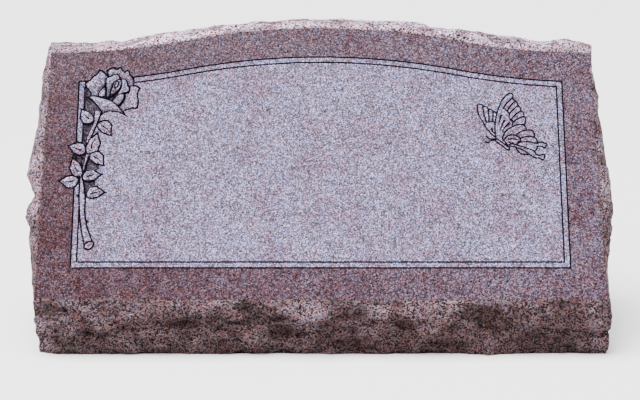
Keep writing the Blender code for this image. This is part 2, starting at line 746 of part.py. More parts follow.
def carved_net(carving):
    """The lines and points that the face's triangles follow: each groove's middle and sides,
    the rolled edges of the petals and leaves, and a fill of points across them."""
    lines, sides, rolls = [], [], []
    for points, width, _ in carving.runs:
        lines.append(points)
        out = outward(points)
        for way in (-1, 1):
            sides.append(points + out * way * width[:, None] / 2)
            rolls.append(points[::2] + out[::2] * way * EDGE_ROLL)
    spots = Spots(carving.step * GROOVE_GAP, [p for run in lines for p in run])
    kept = []
    for run in sides:
        edge, edge_width = carving.nearest(run, False)
        rib, rib_width = carving.nearest(run, True)
        good = (edge > WALL_CLEAR * edge_width) & (rib > WALL_CLEAR * rib_width)
        ring = np.linalg.norm(run[0] - run[-1]) < 1e-9
        for k in range(len(run) - ring):
            good[k] = good[k] and spots.add(run[k])
        if ring:
            good[-1] = good[0]
        kept += unbroken(run, good)
    shaped = [f["outline"] for f in carving.forms]
    low = np.min([o.min(0) for o in shaped], axis=0)
    high = np.max([o.max(0) for o in shaped], axis=0)
    fill = scattered(low, high, RELIEF_STEP, lambda s, t: True, 5)
    fill = np.concatenate([np.concatenate(rolls), np.array(fill)])
    inner = fill[(carving.uppermost(fill) >= 0)]
    edge, _ = carving.nearest(inner, False)
    inner = inner[edge > EDGE_ROLL * ROLL_CLEAR]
    spots = Spots(RELIEF_STEP * FILL_GAP, [p for run in lines + kept for p in run])
    return lines + kept, [tuple(p) for p in inner if spots.add(p)]


def build_block():
    carving = carve_face(CURVE_STEP)
    block = Block()
    half = WIDTH / 2

    across = spaced(-half, half, ARRIS_STEP)
    nose_chip = chips(across, 3)
    nose_chip[[0, -1]] = 0
    nose_arris = [on_face(x, c) for x, c in zip(across, nose_chip)]
    heights = spaced(NOSE_HEIGHT, SHOULDER_HEIGHT, ARRIS_STEP)
    end_arris, back_edge, corner, bed_end, shoulder = {}, {}, {}, {}, {}
    shoulder_y = face_y(SHOULDER_HEIGHT)
    for way in (-1, 1):
        end_chip = 0.5 * chips(heights, 7 + way)
        end_chip[[0, -1]] = 0
        end_arris[way] = [
            (way * (half_width(z) - c), face_y(z), z) for z, c in zip(heights, end_chip)
        ]
        back_edge[way] = [
            (way * half_width(z), BACK_Y, z) for z in spaced(0, SHOULDER_HEIGHT, ROCK_STEP)
        ]
        corner[way] = [(way * half, NOSE_Y, z) for z in spaced(0, NOSE_HEIGHT, ARRIS_STEP)]
        bed_end[way] = [(way * half, y, 0) for y in spaced(NOSE_Y, BACK_Y, ROCK_STEP)]
        shoulder[way] = [
            (way * HALF_SHOULDER, y, SHOULDER_HEIGHT)
            for y in spaced(shoulder_y, BACK_Y, ARRIS_STEP)
        ]
    top_across = spaced(-HALF_SHOULDER, HALF_SHOULDER, TOP_ARRIS_STEP)
    top_arris = [(x, face_y(top_height(x)), top_height(x)) for x in top_across]
    back_top = [(x, BACK_Y, top_height(x)) for x in spaced(-HALF_SHOULDER, HALF_SHOULDER, ROCK_STEP)]
    bed_front = [(x, NOSE_Y, 0) for x in spaced(-half, half, ROCK_STEP)]
    bed_back = [(x, BACK_Y, 0) for x in spaced(-half, half, ROCK_STEP * 2)]

    def closed(*runs):
        return [p for run in runs for p in run[:-1]]

    margin = ROCK_MARGIN
    lines, inner = carved_net(carving)
    block.patch(
        "face",
        closed(nose_arris, end_arris[1], top_arris[::-1], end_arris[-1][::-1]),
        lambda p: (p[0], face_t(p[2])), on_face, inner, lines,
    )
    block.patch(
        "nose",
        closed(bed_front, corner[1], nose_arris[::-1], corner[-1][::-1]),
        lambda p: (p[0], p[2]), lambda x, z: (x, NOSE_Y, z),
        scattered((-half + margin, margin), (half - margin, NOSE_HEIGHT - margin),
                  FRONT_ROCK_STEP, lambda x, z: True, 17),
    )
    block.patch(
        "top",
        closed(top_arris, shoulder[1], back_top[::-1], shoulder[-1][::-1]),
        lambda p: (p[0], p[1]), lambda x, y: (x, y, top_height(x)),
        scattered((-HALF_SHOULDER + margin, shoulder_y + margin),
                  (HALF_SHOULDER - margin, BACK_Y - margin), FRONT_ROCK_STEP,
                  lambda x, y: y > face_y(top_height(x)) + margin, 23),
    )
    for way in (-1, 1):
        block.patch(
            "end",
            closed(bed_end[way], back_edge[way], shoulder[way][::-1], end_arris[way][::-1],
                   corner[way][::-1]),
            lambda p: (p[1], p[2]), lambda y, z, way=way: (way * half_width(z), y, z),
            scattered((NOSE_Y + margin, margin), (BACK_Y - margin, SHOULDER_HEIGHT - margin),
                      ROCK_STEP, lambda y, z: y > face_y(z) + margin, 31 + way),
            turned=way < 0,
        )
    block.patch(
        "back",
        closed(bed_back, back_edge[1], back_top[::-1], back_edge[-1][::-1]),
        lambda p: (p[0], p[2]), lambda x, z: (x, BACK_Y, z), turned=True,
    )
    block.patch(
        "bed",
        closed(bed_front, bed_end[1], bed_back[::-1], bed_end[-1][::-1]),
        lambda p: (p[0], p[1]), lambda x, y: (x, y, 0), turned=True,
    )
    return block, carving


def granite():
    material = bpy.data.materials.new("granite")
    material.use_nodes = True
    shader = material.node_tree.nodes["Principled BSDF"]
    shader.inputs["Base Color"].default_value = (0.30, 0.24, 0.27, 1)
    shader.inputs["Roughness"].default_value = 0.45
    shader.inputs["Metallic"].default_value = 0.0
    return material


def make_headstone():
    block, carving = build_block()
    points = np.array(block.points, float)
    rock = np.array([
        bool(p & {"nose", "end", "top"}) and "face" not in p for p in block.patches
    ])
    carved = np.array([p == {"face"} for p in block.patches])
    face_normal = np.array([0, -math.cos(SLOPE), math.sin(SLOPE)])
    flat = np.stack([points[carved, 0], face_t(points[carved, 2])], axis=1)
    points[carved] -= carving.depth(flat)[:, None] * face_normal
    patches = [p for p, use in zip(block.patches, rock) if use]
    points[rock] = broken(points[rock], patches)
    mesh = bpy.data.meshes.new("slant_headstone")
    mesh.from_pydata([tuple(p) for p in points], [], block.faces)
    mesh.materials.append(granite())
    mesh.validate()
    stone = bpy.data.objects.new("slant_headstone", mesh)
    bpy.context.scene.collection.objects.link(stone)
    return stone


for old in list(bpy.data.objects):
    bpy.data.objects.remove(old)
make_headstone()
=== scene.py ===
# The slant headstone dressed as the real one: polished margin, frosted panel and carving with
# dark stained lines, rock-pitched nose, top and ends, sawn back and bed.
# Metres. On the face, s runs along X and t runs up the slope from the nose's arris.
import math
import bpy
import numpy as np
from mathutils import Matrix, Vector
from mathutils.geometry import delaunay_2d_cdt
from mathutils.kdtree import KDTree


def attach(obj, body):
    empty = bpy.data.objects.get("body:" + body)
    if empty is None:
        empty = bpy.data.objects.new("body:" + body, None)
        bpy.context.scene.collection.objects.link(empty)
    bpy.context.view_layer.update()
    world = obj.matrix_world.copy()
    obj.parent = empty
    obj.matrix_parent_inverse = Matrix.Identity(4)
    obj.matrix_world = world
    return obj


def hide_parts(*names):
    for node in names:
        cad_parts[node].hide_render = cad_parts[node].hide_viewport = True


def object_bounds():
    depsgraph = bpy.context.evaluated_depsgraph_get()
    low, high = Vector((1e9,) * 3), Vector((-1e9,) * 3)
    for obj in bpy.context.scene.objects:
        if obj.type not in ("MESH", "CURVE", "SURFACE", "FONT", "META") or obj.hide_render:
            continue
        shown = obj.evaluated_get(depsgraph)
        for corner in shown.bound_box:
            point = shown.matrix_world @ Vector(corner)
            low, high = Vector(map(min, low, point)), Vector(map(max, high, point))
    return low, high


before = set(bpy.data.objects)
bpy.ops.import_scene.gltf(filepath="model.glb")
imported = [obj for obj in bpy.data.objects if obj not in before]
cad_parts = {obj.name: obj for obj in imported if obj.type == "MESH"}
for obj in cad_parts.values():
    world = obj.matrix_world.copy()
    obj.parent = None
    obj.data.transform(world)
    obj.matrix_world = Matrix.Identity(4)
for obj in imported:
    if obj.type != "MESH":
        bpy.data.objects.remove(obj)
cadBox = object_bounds()


# Small helpers

def hexColour(text):
    # sRGB hex to linear RGBA
    values = [int(text[k:k + 2], 16) / 255 for k in (1, 3, 5)]
    return (*(v / 12.92 if v <= 0.04045 else ((v + 0.055) / 1.055) ** 2.4 for v in values), 1)


def addNode(tree, kind, settings=None, inputs=None):
    # A node with its settings; each input is a value or the socket that feeds it
    node = tree.nodes.new(kind)
    for name, value in (settings or {}).items():
        setattr(node, name, value)
    for name, value in (inputs or {}).items():
        socket = node.inputs[name]
        if isinstance(value, bpy.types.NodeSocket):
            tree.links.new(value, socket)
        else:
            socket.default_value = value
    return node


def smooth(x):
    # Eases from 0 to 1 while x goes from 0 to 1
    x = np.clip(x, 0.0, 1.0)
    return x * x * (3 - 2 * x)


# Seeds of the patterns that are scattered over the stone
seeds = {
    "noseChip": 3,
    "relief": 5,
    "endChip": 7,
    "broadFlake": 11,
    "nosePoints": 17,
    "topPoints": 23,
    "smallFlake": 29,
    "endPoints": 31,
    "facePoints": 41,
    "ledge": 47,
    "backPoints": 51,
    "bedPoints": 53,
    "fineLedge": 53,
    "bruise": 61,
    "fineBruise": 67,
    "streak": 71,
    "flakeTree": 4.0,
}


# The block: serpentine top and slant face

blockSizes = {
    "width": 0.762,
    "endTaper": 0.006,
    "depth": 0.254,
    "height": 0.406,
    "shoulderDrop": 0.0315,
    "noseHeight": 0.076,
    "topDepth": 0.051,
    # spacing of points along the arrises, on the broken stone, on the sawn stone and on the face
    "arrisStep": 0.0030,
    "rockStep": 0.0023,
    "sawnStep": 0.040,
    "faceStep": 0.012,
    # shares of rockStep: how far those on the broken stone keep off its edges, and how much
    # further apart they are on the ends
    "rockRim": 0.6,
    "endCoarser": 1.1,
    # the least distance of those on the face from its lower edges, its top and a cut line
    "faceRim": 0.010,
    "topRim": 0.008,
    "cutRim": 0.006,
    # the corners of the stretch of the back and of the bed that has points of its own
    "backSpan": ((-0.35, 0.03), (0.35, 0.34)),
    "bedSpan": ((-0.35, -0.09), (0.35, 0.09)),
}

halfBlock = blockSizes["width"] / 2
halfShoulder = halfBlock - blockSizes["endTaper"]
noseY = -blockSizes["depth"] / 2
backY = blockSizes["depth"] / 2
noseHeight = blockSizes["noseHeight"]
shoulderHeight = blockSizes["height"] - blockSizes["shoulderDrop"]
slope = math.atan2(blockSizes["depth"] - blockSizes["topDepth"], blockSizes["height"] - noseHeight)
serpentineRadius = (
    (halfShoulder**2 + blockSizes["shoulderDrop"] ** 2) / (4 * blockSizes["shoulderDrop"])
)
faceNormal = np.array([0, -math.cos(slope), math.sin(slope)])


def topHeight(x):
    # A convex crown between two hollow shoulders of like radius
    across = np.minimum(np.abs(x), halfShoulder)
    drop = serpentineRadius - np.sqrt(serpentineRadius**2 - across**2)
    rest = halfShoulder - across
    rise = blockSizes["shoulderDrop"] - serpentineRadius + np.sqrt(serpentineRadius**2 - rest**2)
    return blockSizes["height"] - np.where(across < halfShoulder / 2, drop, rise)


def halfWidth(z):
    rise = np.clip((z - noseHeight) / (shoulderHeight - noseHeight), 0, 1)
    return halfBlock + (halfShoulder - halfBlock) * rise


def faceY(z):
    return noseY + (z - noseHeight) * math.tan(slope)


def faceT(z):
    return (z - noseHeight) / math.cos(slope)


def onFace(s, t):
    return (s, noseY + t * math.sin(slope), noseHeight + t * math.cos(slope))


# Curves on the face

def leftOf(way):
    return np.array([-way[1], way[0]])


def ringOf(outline):
    return np.concatenate([outline, outline[:1]])


def arcChain(points, step, close=False):
    # A point is (right, up, bow), with bow as a share of the chord to the next point
    ends = list(points) + ([points[0]] if close else [])
    out = [np.array(ends[0][:2], float)]
    for here, there in zip(ends, ends[1:]):
        a, b = np.array(here[:2], float), np.array(there[:2], float)
        chord = b - a
        side = leftOf(chord)
        bow = here[2] if len(here) > 2 else 0
        count = max(2, round(np.linalg.norm(chord) * (1 + 2 * bow * bow) / step))
        for k in range(1, count + 1):
            u = k / count
            out.append(a + chord * u + side * bow * 4 * u * (1 - u))
    return np.array(out[:-1] if close else out)


def ribbonOutline(stations, step):
    route = np.array(stations, float)
    count = len(route)
    fine = []
    for k in range(count - 1):
        p0, p1, p2, p3 = (route[min(max(j, 0), count - 1)] for j in range(k - 1, k + 3))
        parts = max(1, round(np.linalg.norm(p2[:2] - p1[:2]) / step))
        for i in range(parts):
            u = i / parts
            fine.append(
                0.5 * (2 * p1 + (p2 - p0) * u + (2 * p0 - 5 * p1 + 4 * p2 - p3) * u**2
                       + (3 * p1 - p0 - 3 * p2 + p3) * u**3)
            )
    fine = np.array(fine + [route[-1]])
    along = np.gradient(fine[:, :2], axis=0)
    along /= np.linalg.norm(along, axis=1)[:, None]
    side = np.stack([-along[:, 1], along[:, 0]], axis=1) * fine[:, 2:]
    left, right = fine[:, :2] + side, fine[:, :2] - side
    parts = max(2, round(np.linalg.norm(right[-1] - left[-1]) / step))
    cap = [left[-1] + (right[-1] - left[-1]) * k / parts for k in range(1, parts)]
    return np.concatenate([left, cap, right[::-1]])


def ellipseOutline(centre, radii, turn, step):
    count = max(10, round(math.pi * sum(radii) / step))
    angle = np.arange(count) * 2 * math.pi / count
    c, s = math.cos(math.radians(turn)), math.sin(math.radians(turn))
    x, y = radii[0] * np.cos(angle), radii[1] * np.sin(angle)
    return np.stack([centre[0] + c * x - s * y, centre[1] + s * x + c * y], axis=1)


def inside(outline, points):
    found = np.zeros(len(points), bool)
    x, y = points[:, 0], points[:, 1]
    low, high = outline.min(0), outline.max(0)
    near = np.flatnonzero((x >= low[0]) & (x <= high[0]) & (y >= low[1]) & (y <= high[1]))
    x, y = x[near], y[near]
    hit = np.zeros(len(near), bool)
    for (ax, ay), (bx, by) in zip(outline, np.roll(outline, -1, axis=0)):
        cross = (ay > y) != (by > y)
        with np.errstate(divide="ignore", invalid="ignore"):
            hit ^= cross & (x < ax + (y - ay) / (by - ay) * (bx - ax))
    found[near] = hit
    return found


def unitWays(points):
    ways = np.diff(points, axis=0)
    return ways / np.maximum(np.linalg.norm(ways, axis=1), 1e-9)[:, None]


def keptOf(points, stride, corner=12):
    # The ends, the turns of more than corner degrees and every stride-th point of a line
    ways = unitWays(points)
    turns = np.ones(len(points), bool)
    turns[1:-1] = (ways[1:] * ways[:-1]).sum(1) < math.cos(math.radians(corner))
    return np.flatnonzero(turns | (np.arange(len(points)) % stride == 0))


def sideways(points):
    # The mitred direction to the left at each point of a line
    ways = unitWays(points)
    ring = np.linalg.norm(points[0] - points[-1]) < 1e-9
    before = np.concatenate([ways[-1:] if ring else ways[:1], ways])
    after = np.concatenate([ways, ways[:1] if ring else ways[-1:]])
    middle = before + after
    middle /= np.maximum(np.linalg.norm(middle, axis=1), 1e-9)[:, None]
    mitre = 1 / np.clip((middle * before).sum(1), 0.5, 1)
    return np.stack([-middle[:, 1], middle[:, 0]], axis=1) * mitre[:, None]


# The cut forms of the face, in painter's order, and the depth that they give

cutSizes = {
    "curveStep": 0.0012,  # spacing of points along the cut lines
    "reliefStep": 0.0017,  # spacing of points across the petals and leaves
    "sampleStep": 0.0004,  # spacing of the samples that distances to a line are taken from
    "borderStride": 6,  # the border keeps one of so many points
    "lineWidth": 0.0022,
    "figureLine": 0.0021,  # lines of the rose and the butterfly
    "shadeWidening": 0.40,  # of the sides that face shadeWay, down and right
    "shadeWay": (0.6, -0.8),
    "taper": (1.35, 0.45),  # share of its width that a tapered line has at its ends
    "lineDepth": 0.0016,
    "ribWidth": 0.0018,
    "edgeRoll": 0.004,
    "edgeRollDepth": 0.0014,
    "petalDish": 0.0030,
    "pocketDepth": 0.006,
    "pocketWall": 0.0022,
    "stainReach": 0.49,  # how far from a line's middle the stain reaches, as a share of its width
    # shares of a line's width: side points and fill points nearer to a line are left out
    "sideClear": 0.47,
    "fillClear": 0.8,
    # shares of curveStep and of reliefStep: the least gap of side points and of fill points
    "sideGap": 0.3,
    "fillGap": 0.6,
    "midRoll": 0.6,  # share of the rolled edge where it has a row of points
}


class Carving:
    def __init__(self, step):
        self.step = step
        self.forms = []
        self.lines = []

    def form(self, kind, outline, line=True, high=None, low=None):
        self.forms.append({"kind": kind, "outline": outline, "high": high, "low": low})
        if line:
            ring = ringOf(outline)
            turn = np.sign(np.sum(ring[:-1, 0] * ring[1:, 1] - ring[1:, 0] * ring[:-1, 1]))
            away = -sideways(ring) * turn
            shade = np.clip(away @ np.array(cutSizes["shadeWay"]), 0, 1)
            self.line(ring, cutSizes["figureLine"] * (1 + cutSizes["shadeWidening"] * shade))

    def line(self, points, width, rib=False, taper=False, stride=1):
        self.lines.append(
            {"points": points, "width": width, "over": len(self.forms), "rib": rib,
             "taper": taper, "stride": stride}
        )

    def visibleRuns(self):
        runs = []
        for line in self.lines:
            points = line["points"]
            width = np.full(len(points), 1.0) * line["width"]
            if line["taper"]:
                width *= np.linspace(*cutSizes["taper"], len(points))
            hidden = np.zeros(len(points), bool)
            for form in self.forms[line["over"]:]:
                if form["kind"] != "pocket":
                    hidden |= inside(form["outline"], points)
            start = None
            for k in range(len(points) + 1):
                shown = k < len(points) and not hidden[k]
                if shown and start is None:
                    start = k
                if not shown and start is not None:
                    if k - start > 1:
                        pick = start + keptOf(points[start:k], line["stride"])
                        runs.append((points[pick], width[pick], line["rib"]))
                    start = None
        return runs

    def settle(self):
        # Close samples of the visible lines, to look up a distance to them
        self.runs = self.visibleRuns()
        self.trees = {}
        for rib in (False, True):
            samples, widths = [], []
            for points, width, isRib in self.runs:
                if isRib != rib:
                    continue
                for k in range(len(points) - 1):
                    reach = np.linalg.norm(points[k + 1] - points[k])
                    parts = max(1, math.ceil(reach / cutSizes["sampleStep"]))
                    for i in range(parts):
                        u = i / parts
                        samples.append(points[k] + (points[k + 1] - points[k]) * u)
                        widths.append(width[k] + (width[k + 1] - width[k]) * u)
                samples.append(points[-1])
                widths.append(width[-1])
            tree = KDTree(len(samples))
            for k, (s, t) in enumerate(samples):
                tree.insert((s, t, 0), k)
            tree.balance()
            self.trees[rib] = (tree, np.array(widths))

    def nearest(self, points, rib):
        tree, widths = self.trees[rib]
        found = [tree.find((s, t, 0)) for s, t in points]
        return np.array([f[2] for f in found]), widths[[f[1] for f in found]]

    def uppermost(self, points):
        top = np.full(len(points), -1)
        for k, form in enumerate(self.forms):
            top[inside(form["outline"], points)] = k
        return top

    def depth(self, points):
        # The whole cut, and how deep the dished forms lie without their lines
        edge, edgeWidth = self.nearest(points, False)
        rib, ribWidth = self.nearest(points, True)
        top = self.uppermost(points)
        cut = np.zeros(len(points))
        for k, form in enumerate(self.forms):
            on = top == k
            if not on.any():
                continue
            if form["kind"] == "pocket":
                cut[on] = cutSizes["pocketDepth"] * smooth(edge[on] / cutSizes["pocketWall"])
                continue
            cut[on] = cutSizes["edgeRollDepth"] * (1 - smooth(edge[on] / cutSizes["edgeRoll"]))
            if form["high"] is not None:
                way = form["low"] - form["high"]
                share = ((points[on] - form["high"]) @ way) / (way @ way)
                cut[on] += cutSizes["petalDish"] * smooth(share)
        sunk = cut.copy()
        cut += cutSizes["lineDepth"] * np.clip(1 - edge / (edgeWidth / 2), 0, 1)
        cut += cutSizes["lineDepth"] * np.clip(1 - rib / (ribWidth / 2), 0, 1)
        return cut, sunk


# The double border line

borderPlace = {
    "sideMargin": 0.0465,
    "bottomMargin": 0.0433,
    "topMargin": 0.0425,
    "gap": 0.008,
}
borderHalf = halfBlock - borderPlace["sideMargin"]


def borderOutline(inset, step):
    half = borderHalf - inset
    low = borderPlace["bottomMargin"] + inset
    across = np.linspace(-half, half, max(9, round(2 * half / step)))
    over = faceT(topHeight(across)) - borderPlace["topMargin"] - inset
    arch = list(zip(across, over))
    corners = [(-half, low), (half, low), (half, over[-1])]
    points = [np.array(p) for p in corners + arch[::-1][1:] + [(-half, low)]]
    out = []
    for a, b in zip(points, points[1:]):
        parts = max(1, round(np.linalg.norm(b - a) / step))
        out += [a + (b - a) * k / parts for k in range(parts)]
    return np.array(out + [points[-1]])


# The rose spray: outlines on a grid in millimetres, from the border's top left corner

spraySketch = {
    "height": 0.261,
    "grid": 261.0,
    # each petal: name, outline, the point that stays high and the point that is cut deepest
    "petals": (
        ("back petal",
         ((37.5, 15, .1), (47, 20.5, -.17), (53, 18.5, .16), (57.5, 20.5, -.15), (63, 14, .27),
          (68.5, 15, -.11), (74, 6, .17), (75, -4, .24), (68.5, -7.5, .04), (39.5, 6.5, -.05)),
         (60, 19), (57, 0)),
        ("right petal",
         ((68.5, -7.5, .17), (78, -6.5, .05), (84.5, -10, -.13), (82, -24, .05), (82, -36, .3),
          (79, -39.5, -.08), (72.5, -39.5, -.02), (62, -43.5, .05), (55, -35.5, .07),
          (58.5, -13, .04)),
         (83, -24), (60, -22)),
        ("left petal",
         ((9, -2, .05), (15, 2, .02), (21, 8.5, -.1), (27, 16.5, .11), (33.5, 14, .04),
          (39.5, 6.5, -.01), (35.5, -5.5, -.08), (26.5, -22, 0), (16, -21, -.15),
          (14.5, -13, .03), (9, -5.5, .19)),
         (16, 5), (32, -10)),
        ("small petal", ((35.5, -5.5, .05), (37, -22, .04), (27, -22, .12)), (28, -20), (36, -8)),
        ("outer bud",
         ((36.5, 5, .02), (51.5, 11.5, .15), (56.5, 2.5, .1), (43, -20, .11), (37.5, -22.5, -.01)),
         (46, 10), (43, -20)),
        ("wrapped petal",
         ((56, 2.5, .19), (65, 2.5, .05), (67, -5.5, .21), (68.5, -15.5, -.06),
          (57.5, -18.5, -.1), (47.5, -25, -.1), (45.5, -29, 0), (38.5, -24, -.11),
          (55.5, -13, -.21)),
         (64, 0), (42, -26)),
        ("bud mouth",
         ((43, -20, .07), (45.5, -6.5, .13), (53.5, 3, .28), (58.5, .5, .13), (56, -10.5, .09)),
         (57, -6), (46, -12)),
        ("lower lobe",
         ((47.5, -25, .1), (57.5, -18.5, .48), (63, -23.5, .08), (56, -34.5, .08), (46, -29, .2)),
         (60, -22), (49, -30)),
        ("curled sepal",
         ((11.5, -22, .09), (32, -24, .1), (55.5, -37, .05), (65.5, -50, -.11), (48.5, -44, -.15),
          (34.5, -47, .02), (31.5, -42.5, -.04), (19.5, -28, -.03)),
         (38, -28), (34, -46)),
    ),
    "budHeart": ((49.5, -9.5, .16), (52.5, 0, .32), (54.5, -4, .16)),
    # each leaf: base, tip, and the swell of its left and right sides as shares of its length
    "leaves": (
        ((21.5, -59.5), (4, -40), .42, .25),
        ((28, -61.5), (47.5, -79.5), .50, .20),
        ((16.5, -105.5), (29, -74), .22, .33),
        ((13, -103.5), (-11.5, -93.5), .27, .42),
        ((18.5, -106.5), (39.5, -122.5), .46, .20),
        ((8, -138), (-4.5, -110), .33, .21),
        ((10.5, -140.5), (37, -135), .40, .22),
        ((5.5, -142), (-22, -144), .44, .24),
        ((17, -166), (43, -160), .48, .18),
    ),
    "leafSide": 1.15,  # length of a leaf's side, as a share of the way from base to tip
    "leafWidest": 0.42,  # share of its length where a leaf is widest
    "leafFullness": 0.70,  # less than 1 is rounder
    "leafPoint": 0.7,  # how much sharper it gets towards its tip
    "leafTeeth": 3,
    "toothDepth": 0.16,
    "ribSpan": (0.28, 0.78),
    # stations of the stem: right, up, half width
    "stem": (
        (28, -43, 4.5), (26.5, -52, 4), (25, -61, 2.6), (20.5, -72, 3), (16.5, -84, 3),
        (16.5, -97, 2.6), (16, -106, 2.6), (12.5, -121, 2), (9, -140, 2), (9.8, -149, 2.8),
        (11.5, -169.5, 4.2), (12.3, -187, 3.6), (13.8, -199, 3.8), (16.5, -212.5, 4.3),
        (22, -230, 5.8), (23, -233, 6),
    ),
    "stemCut": ((23.3, -234.4), (7.0, 5.2), 38),
    # each thorn: place and reach; then the heights of its upper end, its point and its lower end
    "thorns": (((7.0, -166), 2.4), ((18.2, -202), -2.4)),
    "thornRise": (2.2, 0.6, -1.6),
    # the dark hollows behind the rose and between the leaves
    "pockets": (
        ((6.5, -5.5, .12), (15.5, -13, -.08), (32.5, -33.5, .07), (34, -49.5, .04),
         (22, -50, .02), (6.5, -42, 0)),
        ((6.0, -58, 0), (22, -59, .06), (17, -80, .04), (12, -92, -.04), (6.5, -87, 0)),
        ((-4, -104, 0), (12, -104, 0), (13, -124, 0), (4, -122, 0)),
        ((15, -104, 0), (29, -112, .1), (32, -126, .1), (20, -134, 0), (11, -130, 0)),
        ((13, -143, 0), (28, -143, .1), (22, -158, 0), (15.5, -164, 0)),
    ),
}


def leafSide(base, tip, swell, step):
    chord = tip - base
    side = leftOf(chord)
    count = max(5, round(np.linalg.norm(chord) * spraySketch["leafSide"] / step))
    power = math.log(0.5) / math.log(spraySketch["leafWidest"])
    out = []
    for k in range(count + 1):
        u = k / count
        sharper = spraySketch["leafPoint"] * smooth((u - 0.5) / 0.5)
        bulge = math.sin(math.pi * u**power) ** (spraySketch["leafFullness"] + sharper)
        # the teeth set in over the second quarter of its length
        tooth = 1 - (u * spraySketch["leafTeeth"]) % 1
        bulge *= 1 - spraySketch["toothDepth"] * tooth * smooth(4 * u - 1)
        out.append(base + chord * u + side * swell * bulge)
    return out


def leafOutline(base, tip, left, right, step):
    base, tip = np.array(base, float), np.array(tip, float)
    up = leafSide(base, tip, left, step)
    down = leafSide(base, tip, -right, step)[::-1]
    return np.array(up[:-1] + down[:-1])


def leafRib(base, tip, left, right, step):
    base, tip = np.array(base, float), np.array(tip, float)
    chord = tip - base
    side = leftOf(chord) * (left - right) / 4
    a, b = (base + chord * u + side for u in spraySketch["ribSpan"])
    return arcChain([(*a, 0.06), tuple(b)], step)


def cutSpray(carving, corner):
    unit = spraySketch["height"] / spraySketch["grid"]
    step = carving.step / unit

    def place(points):
        return np.asarray(points, float)[:, :2] * unit + corner

    for outline in spraySketch["pockets"]:
        carving.form("pocket", place(arcChain(outline, step, close=True)), line=False)
    carving.form("stem", place(ribbonOutline(spraySketch["stem"], step)))
    upper, point, lower = spraySketch["thornRise"]
    for (x, y), reach in spraySketch["thorns"]:
        spike = [(x, y + upper), (x - reach, y + point), (x, y + lower)]
        carving.line(place(spike), cutSizes["lineWidth"])
    carving.form("stem", place(ellipseOutline(*spraySketch["stemCut"], step)))
    for leaf in spraySketch["leaves"]:
        carving.form("leaf", place(leafOutline(*leaf, step)))
        carving.line(place(leafRib(*leaf, step)), cutSizes["ribWidth"], rib=True, taper=True)
    for name, outline, high, low in spraySketch["petals"]:
        high, low = (np.array(p) * unit + corner for p in (high, low))
        carving.form("petal", place(arcChain(outline, step, close=True)), True, high, low)
        if name == "bud mouth":
            heart = place(arcChain(spraySketch["budHeart"], step, close=True))
            carving.line(ringOf(heart), cutSizes["figureLine"], rib=True)


# The swallowtail butterfly: lines on a grid in millimetres, from its head

butterflySketch = {
    "width": 0.092,
    "grid": 92.0,
    "fromSide": 0.093,
    "fromTop": 0.086,
    "lines": (
        ((-1, 2.5, .07), (5.5, 50, .09), (20, 69, .33), (23.5, 61, .12), (31, 50.5, .16),
         (34.5, 43, .19), (38.5, 34.5, .2), (40, 27, .22), (37, 22.5, -.1), (22.5, 19.5, -.14),
         (8, 2.5)),
        ((10.5, 46, .15), (16, 41.5, .26), (18.5, 36, -.18), (20.5, 29.5, .27), (23, 25.5, -.1),
         (22, 19.5)),
        ((10.5, 46, .07), (23.5, 61)),
        ((16, 41.5, .08), (27.5, 56.5)),
        ((18.5, 36.5, .08), (31, 50)),
        ((21, 30, .07), (34.5, 42.5)),
        ((23, 25.5, .08), (38.5, 34.5)),
        ((-1, 4, .08), (-18, 27, .1), (-25, 48.5, .43), (-21, 52, .39), (-17.5, 49, .2),
         (-10, 45, .22), (-3.5, 41.5, .2), (1, 38.5)),
        ((-17.5, 49, -.03), (-13.5, 25.5)),
        ((-10, 45, 0), (-9.5, 26)),
        ((-3.5, 41.5, -.01), (-4.5, 26.5)),
        ((-13.5, 25.5, .15), (-1.5, 25.5)),
        ((37, 22.5, .21), (40.5, 14.5, .33), (52, 4.5, .15), (55, -4.5, .18), (66, -4.5, .52),
         (67, -9, .44), (63, -9.5, -.12), (55.5, -9, .15), (51, -15.5, -.3), (61.5, -20.5, .53),
         (64.5, -24, .49), (58.5, -26, .09), (43.5, -20, -.07), (18, -8)),
        ((27, 7, .11), (40.5, 14.5)),
        ((32, 2, .13), (52.5, 4)),
        ((28.5, -4, .09), (55, -5)),
        ((27.5, -7, .03), (51, -15.5)),
        ((11, 1.5, .19), (27, 7, .15), (33, -1, -.21), (27.5, -7, -.12), (16.5, -6.5)),
        ((8, 2.5, -.04), (15, -6.5)),
        ((26, -11.5, -.2), (43.5, -20)),
        ((15.5, 1, .09), (28, 1)),
        ((16.5, -2.5, -.15), (23, -3.5)),
        ((-3, 2, .18), (-14.5, 6.5)),
        ((-3, 0, -.13), (-11, -2.5, .36), (-16, -1)),
    ),
    # tapering slits inside the wings: wide end, narrow end
    "slits": (
        ((7.5, 37.5, 0), (3.5, 23)), ((12, 30, -.03), (5.5, 14.5)),
        ((18.5, 25, -.07), (7.5, 11.5)), ((-6.5, 18.5, -.11), (-1.5, 8.5)),
    ),
    "slitWidth": 1.2,  # at their middle, as a share of the other lines' width
    # its two ends and its radius
    "body": ((0, 0), (15.5, -12), 2.1),
}


def cutButterfly(carving, head):
    unit = butterflySketch["width"] / butterflySketch["grid"]
    step = carving.step / unit

    def place(points):
        return np.asarray(points, float)[:, :2] * unit + head

    for outline in butterflySketch["lines"]:
        carving.line(place(arcChain(outline, step)), cutSizes["figureLine"])
    slitWidth = cutSizes["figureLine"] * butterflySketch["slitWidth"]
    for outline in butterflySketch["slits"]:
        carving.line(place(arcChain(outline, step)), slitWidth, taper=True)
    start, end, radius = butterflySketch["body"]
    a, b = np.array(start, float), np.array(end, float)
    along = (b - a) / np.linalg.norm(b - a)
    side = leftOf(along) * radius
    capsule = [(*(a + side), 0), (*(b + side), 0.5), (*(b - side), 0), (*(a - side), 0.5)]
    body = place(arcChain(capsule, step, close=True))
    carving.line(ringOf(body), cutSizes["figureLine"])


